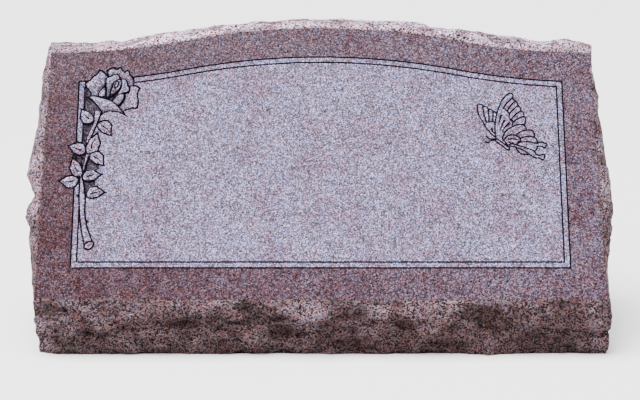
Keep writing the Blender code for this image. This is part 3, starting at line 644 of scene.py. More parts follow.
def carveFace():
    step = cutSizes["curveStep"]
    carving = Carving(step)
    for inset in (0, borderPlace["gap"]):
        carving.line(borderOutline(inset, step), cutSizes["lineWidth"],
                     stride=cutSizes["borderStride"])
    cornerTop = faceT(topHeight(borderHalf)) - borderPlace["topMargin"]
    cutSpray(carving, np.array([-borderHalf, cornerTop]))
    cutButterfly(carving, np.array([borderHalf - butterflySketch["fromSide"],
                                    cornerTop - butterflySketch["fromTop"]]))
    carving.settle()
    return carving


# Broken stone: how far the rock pitch stands out from the arrises, and its larger flakes

pitchSizes = {
    "noseBulge": 0.013,
    "pitchRise": 0.010,  # how far from an arris the pitch takes to stand out
    "cornerBlend": 0.026,
    "noseTuck": 0.75,  # share of the nose's bulge that is gone at the bed
    # shares of the bulge that are gone at the back, and where in the depth that starts
    "endFade": 0.6,
    "endFadeFrom": 0.35,
    "topFade": 0.5,
    "topFadeFrom": 0.8,
    "broadFlake": 0.046,
    "broadFlakeDepth": 0.0065,
    "smallFlake": 0.019,
    "smallFlakeDepth": 0.0022,
    "crest": 0.0015,  # the most that the ends and the top rise past their bulge
    # ledges: steps across the broken stone, drawn out along X, finer than the solid holds
    "ledge": 0.020,
    "ledgeDepth": 0.0145,
    "fineLedges": 0.3,  # share of the finer ones, which are half as large
    "ledgeSteps": 4.0,
    "ledgeCliff": 0.25,  # share of a step that is steep
    "endLedges": 0.45,  # how deep the ends' and the top's ledges are, against the nose's
    "ledgeStretch": (0.45, 1.0, 1.3),
    # the lowest part of the nose is calmer
    "calmShare": 0.5,
    "calmFrom": 0.6,
    # the finest flakes are full on the nose and slight on the ends and the top; they reach full
    # strength at these distances from the nose's ends and from an arris
    "leastCrag": 0.2,
    "cragCorner": 0.03,
    "cragArris": 0.006,
    "sharpAngle": 18,  # degrees: an edge that turns by more shades as a crack
    "boxInset": 0.00001,  # how far the finished stone keeps inside the CAD's box
    "arrisChip": 0.0022,
    "chipSpacing": 0.0256,
    "chipShare": 0.4,
    "endChips": 0.5,  # how deep the ends' chips are, against the nose's
    # bulge of each end at heights above the bed, and of the top at places along X
    "leftEnd": (
        (0.000, -0.013), (0.040, -0.011), (0.070, 0.004), (0.108, 0.015), (0.132, 0.016),
        (0.157, 0.021), (0.169, 0.029), (0.194, 0.016), (0.218, 0.031), (0.230, 0.028),
        (0.255, 0.024), (0.292, 0.021), (0.316, 0.025), (0.341, 0.028), (0.374, 0.035),
    ),
    "rightEnd": (
        (0.000, 0.004), (0.050, 0.008), (0.108, 0.007), (0.132, 0.014), (0.145, 0.020),
        (0.169, 0.025), (0.190, 0.024), (0.243, 0.018), (0.292, 0.017), (0.316, 0.018),
        (0.341, 0.011), (0.374, 0.000),
    ),
    "top": (
        (-0.375, 0.009), (-0.300, 0.009), (-0.285, 0.006), (-0.250, 0.012), (-0.200, 0.014),
        (-0.160, 0.012), (-0.118, 0.014), (-0.070, 0.009), (0.010, 0.015), (0.050, 0.009),
        (0.090, 0.014), (0.135, 0.018), (0.160, 0.011), (0.195, 0.018), (0.235, 0.018),
        (0.280, 0.014), (0.310, 0.011), (0.335, 0.015), (0.375, 0.018),
    ),
}


def hashed(cells, salt):
    # A repeatable number from 0 to 1 for each cell of a grid; the large numbers only mix it
    mixed = cells[:, 0] * 73856093 ^ cells[:, 1] * 19349663 ^ cells[:, 2] * 83492791
    mixed = (mixed ^ salt * 2654435761) & 0xFFFFFFFF
    mixed = ((mixed ^ (mixed >> 15)) * 2246822519) & 0xFFFFFFFF
    mixed = ((mixed ^ (mixed >> 13)) * 3266489917) & 0xFFFFFFFF
    return ((mixed ^ (mixed >> 16)) & 0xFFFFFF) / 0xFFFFFF


def flakes(points, size, salt):
    # Shell-shaped scars: dishes that meet in sharp ridges
    scaled = points / size
    home = np.floor(scaled).astype(np.int64)
    best = np.full(len(points), 9.0)
    for shift in np.ndindex(3, 3, 3):
        cells = home + np.array(shift) - 1
        spot = cells + np.stack([hashed(cells, salt + k) for k in range(3)], axis=1)
        reach = ((scaled - spot) ** 2).sum(1) + 0.5 * hashed(cells, salt + 3)
        best = np.minimum(best, reach)
    return best - 0.5


def softNoise(points, size, salt):
    # Smooth noise from 0 to 1
    scaled = points / size
    home = np.floor(scaled).astype(np.int64)
    part = smooth(scaled - home)
    total = np.zeros(len(points))
    for shift in np.ndindex(2, 2, 2):
        share = np.prod(np.where(shift, part, 1 - part), axis=1)
        total += share * hashed(home + np.array(shift), salt)
    return total


def ledges(points):
    # Level stretches with short cliffs between them, from -0.5 to 0.5
    stretched = points * pitchSizes["ledgeStretch"]
    fine = pitchSizes["fineLedges"]
    rise = (1 - fine) * softNoise(stretched, pitchSizes["ledge"], seeds["ledge"])
    rise += fine * softNoise(stretched, pitchSizes["ledge"] / 2, seeds["fineLedge"])
    rise *= pitchSizes["ledgeSteps"]
    level = np.floor(rise)
    cliff = pitchSizes["ledgeCliff"]
    return (level + smooth((rise - level - (1 - cliff)) / cliff)) / pitchSizes["ledgeSteps"] - 0.5


# Weather and painted light: the top and what is bruised stay pale, partly washed by the rain and
# partly painted light, and the rest is damp and brown, partly painted shade where it faces away
# from the light

weatherAndLight = {
    # how pale a side is left, from 0 to 1, and how much more where it is bruised; the nose and the
    # ends, which face away from the light, are left darker as painted shade
    "nose": (0.06, 0.12),
    "end": (0.22, 0.26),
    # painted shade on the right end, which faces away from the light
    "rightEndShade": 0.14,
    # bruises: pale patches, partly where the chisel struck and partly painted light, most of them
    # near the nose's arris, where the stone rolls out and faces up to the light
    "bruise": 0.020,
    "fineBruise": 0.008,
    "fineBruiseShare": 0.5,
    # painted light along the nose's arris, where the stone rolls out to face up
    "arrisLight": 0.6,
    "arrisReach": 0.020,
    "noseBruised": (0.80, 0.7),  # the noise where a bruise starts, and how much more fills it
    "endBruised": (0.5, 0.5),
    # streaks: dark lines along the top, behind its pale arris
    "streak": 0.0075,
    "streakStretch": (0.3, 1.0, 1.0),
    "streakDark": 0.68,
    "streaked": (0.46, 0.08),  # the noise under which a streak starts, and how much less fills it
    "paleArris": 0.003,
    "topHollow": 0.4,  # the top's hollows are so much paler than the others
}


def washingAndLight(points, fromArris):
    # How pale the nose, the ends and the top are left: partly washed by the rain, and partly
    # painted light and shade for how each side faces the light
    bruised = softNoise(points, weatherAndLight["bruise"], seeds["bruise"])
    fine = softNoise(points, weatherAndLight["fineBruise"], seeds["fineBruise"])
    bruised += weatherAndLight["fineBruiseShare"] * fine
    streaks = softNoise(points * weatherAndLight["streakStretch"], weatherAndLight["streak"], seeds["streak"])
    nearArris = np.exp(-(np.clip(fromArris["nose"], 0, None) / weatherAndLight["arrisReach"]) ** 2)
    cleanAndLit = {}
    for name, noise in (("nose", bruised + weatherAndLight["arrisLight"] * nearArris), ("end", bruised)):
        base, more = weatherAndLight[name]
        start, span = weatherAndLight[f"{name}Bruised"]
        cleanAndLit[name] = base + more * smooth((noise - start) / span)
    cleanAndLit["end"] -= weatherAndLight["rightEndShade"] * (points[:, 0] > 0)
    start, span = weatherAndLight["streaked"]
    behindArris = 1 - np.exp(-fromArris["top"] / weatherAndLight["paleArris"])
    cleanAndLit["top"] = 1 - weatherAndLight["streakDark"] * smooth((start - streaks) / span) * behindArris
    return cleanAndLit


def broken(points, patches):
    # Where the rock-pitched points move, the way that they move, and what marks them
    x, y, z = points.T
    on = {name: np.array([name in p for p in patches]) for name in ("nose", "end", "top")}
    along = np.array([math.sin(slope), math.cos(slope)])
    up = np.stack([y - noseY, z - noseHeight], axis=1)
    reach = np.clip(up @ along, 0, None)
    fromArris = {
        "nose": noseHeight - z,
        "end": np.linalg.norm(up - reach[:, None] * along, axis=1),
        "top": y - faceY(topHeight(x)),
    }
    side = np.where(x < 0, -1.0, 1.0)
    zero, one = np.zeros(len(points)), np.ones(len(points))
    normal = {"nose": (zero, -one, zero), "end": (side, zero, zero), "top": (zero, zero, one)}
    behind = (y - noseY) / blockSizes["depth"]
    left, right = (np.interp(z, *zip(*pitchSizes[name])) for name in ("leftEnd", "rightEnd"))
    fade = {
        name: 1 - pitchSizes[f"{name}Fade"]
        * smooth((behind - pitchSizes[f"{name}FadeFrom"]) / (1 - pitchSizes[f"{name}FadeFrom"]))
        for name in ("end", "top")
    }
    bulge = {
        "nose": pitchSizes["noseBulge"]
        * (1 - pitchSizes["noseTuck"] * (fromArris["nose"] / noseHeight) ** 2),
        "end": np.where(x < 0, left, right) * fade["end"],
        "top": np.interp(x, *zip(*pitchSizes["top"])) * fade["top"],
    }
    blend = pitchSizes["cornerBlend"]
    inwards = (halfWidth(z) - np.abs(x)) / blend
    weight = {
        "nose": np.where(on["nose"], 1, np.clip(1 - (y - noseY) / blend, 0, 1)
                         * (z <= noseHeight)),
        "end": np.where(on["end"], 1, np.clip(1 - inwards, 0, 1)),
        "top": np.where(on["top"], 1,
                        np.clip(1 - (shoulderHeight - z) / blend, 0, 1) * on["end"]),
    }
    total = sum(weight.values())
    rough = sum(
        pitchSizes[f"{name}Depth"] * flakes(points, pitchSizes[name], seeds[name])
        for name in ("broadFlake", "smallFlake")
    )
    stepped = pitchSizes["ledgeDepth"] * ledges(points)
    low = np.minimum(rough + pitchSizes["endLedges"] * stepped, pitchSizes["crest"])
    rough += stepped
    calm = (fromArris["nose"] / noseHeight - pitchSizes["calmFrom"]) / (1 - pitchSizes["calmFrom"])
    rough *= 1 - pitchSizes["calmShare"] * on["nose"] * smooth(calm)
    crests = {"nose": rough, "end": low, "top": low}
    washedAndLit = washingAndLight(points, fromArris)
    least = pitchSizes["leastCrag"]
    inner = smooth((halfBlock - np.abs(x)) / pitchSizes["cragCorner"])
    craggy = least + (1 - least) * on["nose"] * inner
    # how far in the stone lies, which darkens its hollows with painted shade
    hollow = smooth(0.5 - rough / (pitchSizes["broadFlakeDepth"] + pitchSizes["ledgeDepth"]))
    hollow *= 1 - weatherAndLight["topHollow"] * on["top"]
    amount, away, cleanAndLit = (np.zeros(len(points)) for _ in range(3))
    way = np.zeros((len(points), 3))
    for name in weight:
        share = np.clip(fromArris[name], 0, None)
        rise = 1 - np.exp(-share / pitchSizes["pitchRise"])
        amount += weight[name] * (bulge[name] + crests[name]) * rise / total
        away += weight[name] * share / total
        cleanAndLit += weight[name] * washedAndLit[name] / total
        way += weight[name][:, None] * np.stack(normal[name], axis=1)
    way /= np.linalg.norm(way, axis=1)[:, None]
    return points + way * amount[:, None], way, {
        "fromArris": away, "washedAndLit": cleanAndLit, "hollow": hollow, "craggy": craggy,
    }


# The block's faces, each filled flat, then lifted

class Block:
    def __init__(self):
        self.points, self.patches, self.faces, self.facePatch, self.known = [], [], [], [], {}

    def vertex(self, point, patch):
        key = tuple(round(c, 7) for c in point)
        if key not in self.known:
            self.known[key] = len(self.points)
            self.points.append(tuple(point))
            self.patches.append(set())
        self.patches[self.known[key]].add(patch)
        return self.known[key]

    def patch(self, name, loop, flat, lift, inner=(), lines=(), turned=False):
        plane = [flat(p) for p in loop] + [tuple(p) for p in inner]
        edges = [(k, (k + 1) % len(loop)) for k in range(len(loop))]
        for run in lines:
            first = len(plane)
            plane += [tuple(p) for p in run]
            edges += [(k, k + 1) for k in range(first, len(plane) - 1)]
        spots, _, faces, origins, _, _ = delaunay_2d_cdt(
            [Vector(p) for p in plane], edges, [], 1, 1e-6
        )
        index = []
        for spot, origin in zip(spots, origins):
            onLoop = [k for k in origin if k < len(loop)]
            point = loop[onLoop[0]] if onLoop else lift(*spot)
            index.append(self.vertex(point, name))
        for face in faces:
            corners = [index[k] for k in face]
            if len(set(corners)) == 3:
                self.faces.append(corners[::-1] if turned else corners)
                self.facePatch.append(name)


def spaced(first, last, step):
    return np.linspace(first, last, max(2, round(abs(last - first) / step) + 1))


def chips(where, salt):
    # How far an arris is chipped back at each place along it
    spots = np.stack([where, where * 0, where * 0 + salt], axis=1)
    scars = flakes(spots, pitchSizes["chipSpacing"], salt)
    return pitchSizes["arrisChip"] * np.clip(scars + pitchSizes["chipShare"], 0, 1)


def scattered(low, high, step, salt, jitter=0.55):
    # A grid whose points are jittered by a share of a step
    columns = max(1, round((high[0] - low[0]) / step))
    rows = max(1, round((high[1] - low[1]) / step))
    i, j = (a.ravel() for a in np.meshgrid(np.arange(columns + 1), np.arange(rows + 1)))
    cells = np.stack([i, j, i * 0 + salt], axis=1)
    u, v = (hashed(cells, salt + k) - 0.5 for k in (1, 2))
    return np.stack([
        low[0] + (i + jitter * u) * (high[0] - low[0]) / columns,
        low[1] + (j + jitter * v) * (high[1] - low[1]) / rows,
    ], axis=1)


class Spots:
    # Points that keep a gap from each other
    def __init__(self, gap, taken=()):
        self.gap, self.cells = gap, {}
        for p in taken:
            self.cells.setdefault(self.cell(p), []).append(p)

    def cell(self, p):
        return math.floor(p[0] / self.gap), math.floor(p[1] / self.gap)

    def add(self, p):
        i, j = self.cell(p)
        for a in (i - 1, i, i + 1):
            for b in (j - 1, j, j + 1):
                for q in self.cells.get((a, b), ()):
                    if math.hypot(p[0] - q[0], p[1] - q[1]) < self.gap:
                        return False
        self.cells.setdefault((i, j), []).append(p)
        return True


def unbroken(points, good):
    # The stretches of a line whose points are all good
    runs, start = [], None
    for k in range(len(points) + 1):
        if k < len(points) and good[k]:
            start = k if start is None else start
        elif start is not None:
            runs.append(points[start:k])
            start = None
    return runs


def carvedNet(carving):
    # Each line's middle and sides, the rolled edges, and a fill of points across the forms
    lines, sides, rolls = [], [], []
    for points, width, _ in carving.runs:
        lines.append(points)
        out = sideways(points)
        for way in (-1, 1):
            sides.append(points + out * way * width[:, None] / 2)
            rolls.append(points[::2] + out[::2] * way * cutSizes["edgeRoll"])
            rolls.append(points[::2] + out[::2] * way * cutSizes["edgeRoll"] * cutSizes["midRoll"])
    kept = []
    spots = Spots(carving.step * cutSizes["sideGap"], [p for run in lines for p in run])
    for run in sides:
        edge, edgeWidth = carving.nearest(run, False)
        rib, ribWidth = carving.nearest(run, True)
        clear = cutSizes["sideClear"]
        good = (edge > clear * edgeWidth) & (rib > clear * ribWidth)
        ring = np.linalg.norm(run[0] - run[-1]) < 1e-9
        for k in range(len(run) - ring):
            good[k] = good[k] and spots.add(run[k])
        if ring:
            good[-1] = good[0]
        kept += unbroken(run, good)
    low = np.min([f["outline"].min(0) for f in carving.forms], axis=0)
    high = np.max([f["outline"].max(0) for f in carving.forms], axis=0)
    fill = np.concatenate(rolls + [scattered(low, high, cutSizes["reliefStep"], seeds["relief"])])
    inner = fill[carving.uppermost(fill) >= 0]
    edge, edgeWidth = carving.nearest(inner, False)
    inner = inner[edge > edgeWidth * cutSizes["fillClear"]]
    spots = Spots(cutSizes["reliefStep"] * cutSizes["fillGap"],
                  [p for run in lines + kept for p in run])
    return lines + kept, [tuple(p) for p in inner if spots.add(p)]


def buildBlock(carving):
    block = Block()
    arris, rock, sawn = (blockSizes[k] for k in ("arrisStep", "rockStep", "sawnStep"))
    shoulderY = faceY(shoulderHeight)
    across = spaced(-halfBlock, halfBlock, arris)
    noseChip = chips(across, seeds["noseChip"])
    noseChip[[0, -1]] = 0
    noseArris = [onFace(x, c) for x, c in zip(across, noseChip)]
    heights = spaced(noseHeight, shoulderHeight, arris)
    endArris, backEdge, corner, bedEnd, shoulder = {}, {}, {}, {}, {}
    for way in (-1, 1):
        endChip = pitchSizes["endChips"] * chips(heights, seeds["endChip"] + way)
        endChip[[0, -1]] = 0
        endArris[way] = [(way * (halfWidth(z) - c), faceY(z), z) for z, c in zip(heights, endChip)]
        backEdge[way] = [(way * halfWidth(z), backY, z) for z in spaced(0, shoulderHeight, arris)]
        corner[way] = [(way * halfBlock, noseY, z) for z in spaced(0, noseHeight, arris)]
        bedEnd[way] = [(way * halfBlock, y, 0) for y in spaced(noseY, backY, arris)]
        depths = spaced(shoulderY, backY, arris)
        shoulder[way] = [(way * halfShoulder, y, shoulderHeight) for y in depths]
    topAcross = spaced(-halfShoulder, halfShoulder, arris)
    topArris = [(x, faceY(topHeight(x)), topHeight(x)) for x in topAcross]
    backTop = [(x, backY, topHeight(x)) for x in topAcross]
    bedFront = [(x, noseY, 0) for x in across]
    bedBack = [(x, backY, 0) for x in spaced(-halfBlock, halfBlock, sawn)]

    def closed(*runs):
        return [p for run in runs for p in run[:-1]]

    rockRim = rock * blockSizes["rockRim"]

    def rockSpots(low, high, step, salt):
        # Points on the broken stone, which keep off the edges of their patch
        return scattered(np.array(low) + rockRim, np.array(high) - rockRim, step, salt)

    lines, inner = carvedNet(carving)
    rim = blockSizes["faceRim"]
    plain = scattered((-halfBlock + rim, rim), (halfBlock - rim, faceT(blockSizes["height"])),
                      blockSizes["faceStep"], seeds["facePoints"])
    plain = plain[plain[:, 1] < faceT(topHeight(plain[:, 0])) - blockSizes["topRim"]]
    edge, _ = carving.nearest(plain, False)
    clear = (edge > blockSizes["cutRim"]) & (carving.uppermost(plain) < 0)
    inner += [tuple(p) for p in plain[clear]]
    block.patch(
        "face", closed(noseArris, endArris[1], topArris[::-1], endArris[-1][::-1]),
        lambda p: (p[0], faceT(p[2])), onFace, inner, lines,
    )
    print("face:", len(block.faces), "triangles")
    block.patch(
        "nose", closed(bedFront, corner[1], noseArris[::-1], corner[-1][::-1]),
        lambda p: (p[0], p[2]), lambda x, z: (x, noseY, z),
        rockSpots((-halfBlock, 0), (halfBlock, noseHeight), rock, seeds["nosePoints"]),
    )
    onTop = rockSpots((-halfShoulder, shoulderY), (halfShoulder, backY), rock,
                      seeds["topPoints"])
    block.patch(
        "top", closed(topArris, shoulder[1], backTop[::-1], shoulder[-1][::-1]),
        lambda p: (p[0], p[1]), lambda x, y: (x, y, topHeight(x)),
        onTop[onTop[:, 1] > faceY(topHeight(onTop[:, 0])) + rockRim],
    )
    for way in (-1, 1):
        onEnd = rockSpots((noseY, 0), (backY, shoulderHeight), rock * blockSizes["endCoarser"],
                          seeds["endPoints"] + way)
        block.patch(
            "end",
            closed(bedEnd[way], backEdge[way], shoulder[way][::-1], endArris[way][::-1],
                   corner[way][::-1]),
            lambda p: (p[1], p[2]), lambda y, z, way=way: (way * halfWidth(z), y, z),
            onEnd[onEnd[:, 0] > faceY(onEnd[:, 1]) + rockRim], turned=way < 0,
        )
    block.patch(
        "back", closed(bedBack, backEdge[1], backTop[::-1], backEdge[-1][::-1]),
        lambda p: (p[0], p[2]), lambda x, z: (x, backY, z),
        scattered(*blockSizes["backSpan"], sawn, seeds["backPoints"]), turned=True,
    )
    block.patch(
        "bed", closed(bedFront, bedEnd[1], bedBack[::-1], bedEnd[-1][::-1]),
        lambda p: (p[0], p[1]), lambda x, y: (x, y, 0),
        scattered(*blockSizes["bedSpan"], sawn, seeds["bedPoints"]), turned=True,
    )
    print("block:", len(block.faces), "triangles")
    return block


# Materials

graniteLook = {
    # how far the borders of the crystals wander, as a share of their size, and how often
    "wander": 0.8,
    "wanderOften": 0.7,
    "patch": 0.009,  # paler and darker patches, some crystals across
    "patchShare": 0.3,
    "cloud": 0.050,  # rosy clouds, a few centimetres across
    "cloudSpan": (0.46, 0.66),
    # clumps of pink feldspar, clear quartz and cooler feldspar, nearly a centimetre across
    "hue": 0.0090,
    "hues": ("#f9dfdf", "#f5eff5", "#e2e6f6"),
    "hueStops": (0.36, 0.5, 0.64),
    # black mica: the spacing of its flakes, and their radius as a share of that
    "mica": 0.0042,
    "micaRadius": 0.33,
    "micaColour": "#18161c",
}


def granite(name, minerals, crystal, roughness, bump=0, blush="#ffffff", blushShare=0,
            micaShare=0, ior=1.53, tinted=True):
    # minerals: hex colours from the darkest crystal to the palest; crystal and bump in metres
    # 1.53 is the IOR of feldspar and quartz
    material = bpy.data.materials.new(name)
    material.use_nodes = True
    tree = material.node_tree
    shader = tree.nodes["Principled BSDF"]
    where = addNode(tree, "ShaderNodeTexCoord").outputs["Object"]
    wander = addNode(tree, "ShaderNodeTexNoise", None,
                     {"Vector": where, "Scale": graniteLook["wanderOften"] / crystal,
                      "Detail": 1.0})
    reach = crystal * graniteLook["wander"]
    bent = addNode(tree, "ShaderNodeVectorMath", {"operation": "MULTIPLY_ADD"},
                   {0: wander.outputs["Color"], 1: (reach, reach, reach), 2: where})
    cells = addNode(tree, "ShaderNodeTexVoronoi", None,
                    {"Vector": bent.outputs[0], "Scale": 1 / crystal})
    draw = addNode(tree, "ShaderNodeSeparateColor", None, {"Color": cells.outputs["Color"]})
    patches = addNode(tree, "ShaderNodeTexNoise", None,
                      {"Vector": where, "Scale": 1 / graniteLook["patch"], "Detail": 3.0,
                       "Roughness": 0.6})
    share = graniteLook["patchShare"]
    mixed = addNode(tree, "ShaderNodeMath", {"operation": "MULTIPLY_ADD"},
                    {0: patches.outputs["Fac"], 1: share, 2: -share / 2})
    value = addNode(tree, "ShaderNodeMath", {"operation": "ADD", "use_clamp": True},
                    {0: draw.outputs["Red"], 1: mixed.outputs[0]})
    ramp = addNode(tree, "ShaderNodeValToRGB", None, {"Fac": value.outputs[0]})
    setStops(ramp, np.linspace(0, 1, len(minerals)), minerals)
    clouds = addNode(tree, "ShaderNodeTexNoise", None,
                     {"Vector": where, "Scale": 1 / graniteLook["cloud"], "Detail": 2.0,
                      "Roughness": 0.5})
    low, high = graniteLook["cloudSpan"]
    rosy = addNode(tree, "ShaderNodeMapRange", None,
                   {"Value": clouds.outputs["Fac"], "From Min": low, "From Max": high,
                    "To Max": blushShare})
    warm = addNode(tree, "ShaderNodeMix", {"data_type": "RGBA", "blend_type": "MULTIPLY"},
                   {"Factor": rosy.outputs[0], 6: ramp.outputs[0], 7: hexColour(blush)})
    if tinted:
        drift = addNode(tree, "ShaderNodeTexNoise", None,
                        {"Vector": where, "Scale": 1 / graniteLook["hue"], "Detail": 1.0})
        tint = addNode(tree, "ShaderNodeValToRGB", None, {"Fac": drift.outputs["Fac"]})
        setStops(tint, graniteLook["hueStops"], graniteLook["hues"])
        warm = addNode(tree, "ShaderNodeMix", {"data_type": "RGBA", "blend_type": "MULTIPLY"},
                       {"Factor": 1.0, 6: warm.outputs[2], 7: tint.outputs[0]})
    specks = addNode(tree, "ShaderNodeTexVoronoi", None,
                     {"Vector": bent.outputs[0], "Scale": 1 / graniteLook["mica"]})
    pick = addNode(tree, "ShaderNodeSeparateColor", None, {"Color": specks.outputs["Color"]})
    dark = addNode(tree, "ShaderNodeMath", {"operation": "LESS_THAN"},
                   {0: pick.outputs["Green"], 1: micaShare})
    small = addNode(tree, "ShaderNodeMath", {"operation": "LESS_THAN"},
                    {0: specks.outputs["Distance"], 1: graniteLook["micaRadius"]})
    mica = addNode(tree, "ShaderNodeMath", {"operation": "MULTIPLY"},
                   {0: dark.outputs[0], 1: small.outputs[0]})
    flecked = addNode(tree, "ShaderNodeMix", {"data_type": "RGBA"},
                      {"Factor": mica.outputs[0], 6: warm.outputs[2],
                       7: hexColour(graniteLook["micaColour"])})
    tree.links.new(flecked.outputs[2], shader.inputs["Base Color"])
    shader.inputs["Roughness"].default_value = roughness
    shader.inputs["IOR"].default_value = ior
    if bump:
        height = addNode(tree, "ShaderNodeMath", {"operation": "MULTIPLY_ADD"},
                         {0: patches.outputs["Fac"], 1: 2.0, 2: draw.outputs["Green"]})
        lift = addNode(tree, "ShaderNodeBump", None,
                       {"Height": height.outputs[0], "Strength": 1.0, "Distance": bump})
        tree.links.new(lift.outputs[0], shader.inputs["Normal"])
    return material


def setStops(ramp, places, colours):
    stops = ramp.color_ramp.elements
    while len(stops) < len(colours):
        stops.new(0.5)
    for stop, place, colour in zip(stops, places, colours):
        stop.position = place
        stop.color = hexColour(colour)


# The finishes of one stone. Its real grain is 1 to 4 mm, drawn at the fine end of that, as the
# photograph's size shows it. A lower IOR than the stone's own takes the sheen off rough stone
finishLooks = {
    # polished margin: ground and buffed, so the crystals show dark and clear under a thin gloss
    "polishedGranite": {
        "minerals": ("#1f171d", "#3b2f39", "#4d404b", "#645564", "#958592"),
        "crystal": 0.0013, "roughness": 0.2,
        "blush": "#c0847c", "blushShare": 0.28, "micaShare": 0.05,
    },
    # steeled panel: blasted with fine shot, so it scatters pale and cool
    "steeledGranite": {
        "minerals": ("#0b0b10", "#353443", "#5a556b", "#867f9f", "#d6cbfb"),
        "crystal": 0.0011, "roughness": 0.75, "bump": 0.0002,
        "blush": "#e0a8b4", "blushShare": 0.5, "micaShare": 0.02,
    },
    # carved forms: blasted like the panel, and a little paler where they stand high, with painted
    # shade in their deep parts
    "blastedCarving": {
        "minerals": ("#0f0e14", "#3c3849", "#635c74", "#948bab", "#e8d9ff"),
        "crystal": 0.0011, "roughness": 0.8, "bump": 0.0002,
        "blush": "#e0a8b4", "blushShare": 0.5, "micaShare": 0.01,
    },
    # cut lines: dark stain sprayed into the grooves, dull and nearly black
    "stainedGroove": {
        "minerals": ("#08060c", "#0e0a14", "#16101c"),
        "crystal": 0.0011, "roughness": 0.9, "bump": 0.0002, "ior": 1.15, "tinted": False,
    },
    # pockets: blasted deep, and dark on their rough floor
    "darkPocket": {
        "minerals": ("#151217", "#322b37", "#4e4450", "#7f7081"),
        "crystal": 0.0013, "roughness": 0.9, "bump": 0.0008, "micaShare": 0.05,
        "ior": 1.3, "tinted": False,
    },
    # rock pitch: split by a chisel, so it is rough and open-grained, with sharp pale crystals
    "rockPitchedGranite": {
        "minerals": ("#060304", "#4a3640", "#c0a0bc", "#ffe8ff", "#ffffff"),
        "crystal": 0.0016, "roughness": 0.9, "bump": 0.0024,
        "blush": "#a87074", "blushShare": 0.35, "micaShare": 0.07, "ior": 1.3,
    },
    # sawn back and bed: flat and even from the wire saw, dull and greyer than the polish
    "sawnGranite": {
        "minerals": ("#3a3236", "#5c5256", "#70666c", "#867c82", "#aca2a8"),
        "crystal": 0.0013, "roughness": 0.7, "bump": 0.0003,
        "blush": "#c8a8a0", "blushShare": 0.3, "micaShare": 0.04,
    },
}

# Each stain and each painted shade goes from none to full as what it follows goes through its
# span. Its grain is the size of the noise that breaks it up, and the noise that gives none and
# all of it
stainsAndShade = (
    # browner and darker low and to the left
    {"finish": "polishedGranite", "way": (1.0, 0.0, 0.8), "span": (0.34, -0.25),
     "colour": "#cdb4ac", "grain": (0.040, 0.0, 0.5)},
    # painted shade in the deep parts of the carving
    {"finish": "blastedCarving", "mark": "sunk", "span": (0.0010, 0.0044), "colour": "#857b89"},
    # damp and brown, and painted shade, where the broken stone is neither washed by the rain nor
    # lit:
    # most on the nose and the right end, least on the top
    {"finish": "rockPitchedGranite", "mark": "washedAndLit", "span": (1.0, 0.0),
     "colour": "#605044", "grain": (0.030, -0.6, 0.30)},
    # painted shade in its hollows
    {"finish": "rockPitchedGranite", "mark": "hollow", "span": (0.30, 0.85),
     "colour": "#8d7c76", "grain": (0.010, 0.1, 0.6)},
    # algae: a faint green patch low on the nose, towards its left end
    {"finish": "rockPitchedGranite", "centre": (-0.335, -0.137, 0.012), "span": (0.022, 0.0),
     "colour": "#8fa878", "grain": (0.006, 0.2, 0.6)},
)


def layStainAndShade(finish, span, colour, mark=None, centre=None, way=None, grain=None):
    # Follows a point attribute, the distance from a centre, or the place along a way
    tree = finishes[finish].node_tree
    where = addNode(tree, "ShaderNodeTexCoord").outputs["Object"]
    if mark:
        value = addNode(tree, "ShaderNodeAttribute", {"attribute_name": mark}).outputs["Fac"]
    else:
        value = addNode(tree, "ShaderNodeVectorMath",
                        {"operation": "DISTANCE" if centre else "DOT_PRODUCT"},
                        {0: where, 1: centre or way}).outputs["Value"]
    amount = addNode(tree, "ShaderNodeMapRange", None,
                     {"Value": value, "From Min": span[0], "From Max": span[1]})
    if grain:
        size, low, high = grain
        noise = addNode(tree, "ShaderNodeTexNoise", None,
                        {"Vector": where, "Scale": 1 / size, "Detail": 4.0, "Roughness": 0.65})
        spread = addNode(tree, "ShaderNodeMapRange", None,
                         {"Value": noise.outputs["Fac"], "From Min": low, "From Max": high})
        amount = addNode(tree, "ShaderNodeMath", {"operation": "MULTIPLY", "use_clamp": True},
                         {0: amount.outputs[0], 1: spread.outputs[0]})
    base = tree.nodes["Principled BSDF"].inputs["Base Color"]
    laid = addNode(tree, "ShaderNodeMix", {"data_type": "RGBA", "blend_type": "MULTIPLY"},
                   {"Factor": amount.outputs[0], 6: base.links[0].from_socket,
                    7: hexColour(colour)})
    tree.links.new(laid.outputs[2], base)


print("building the block")
carving = carveFace()
print("carving:", len(carving.runs), "cut lines,", len(carving.forms), "forms")
block = buildBlock(carving)

finishes = {name: granite(name, **look) for name, look in finishLooks.items()}
for look in stainsAndShade:
    layStainAndShade(**look)
finishNumber = {name: k for k, name in enumerate(finishes)}
print("finishes:", len(finishes), "with", len(stainsAndShade), "stainsAndShade")


def faceFinish(block, carving, points, faces):
    # The number of each triangle's finish
    centre = points[faces].mean(1)
    finish = np.full(len(faces), finishNumber["rockPitchedGranite"])
    patch = np.array(block.facePatch)
    finish[(patch == "back") | (patch == "bed")] = finishNumber["sawnGranite"]
    on = np.flatnonzero(patch == "face")
    flat = np.stack([centre[on, 0], faceT(centre[on, 2])], axis=1)
    framed = inside(borderOutline(0, cutSizes["curveStep"]), flat)
    found = np.where(framed, finishNumber["steeledGranite"], finishNumber["polishedGranite"])
    top = carving.uppermost(flat)
    pocket = np.array([f["kind"] == "pocket" for f in carving.forms] + [False])
    found[top >= 0] = finishNumber["blastedCarving"]
    found[pocket[top]] = finishNumber["darkPocket"]
    for rib in (False, True):
        away, width = carving.nearest(flat, rib)
        found[away < width * cutSizes["stainReach"]] = finishNumber["stainedGroove"]
    finish[on] = found
    return finish


# Geometry Nodes: the finest flakes and grit of the rock pitch, and the finishes

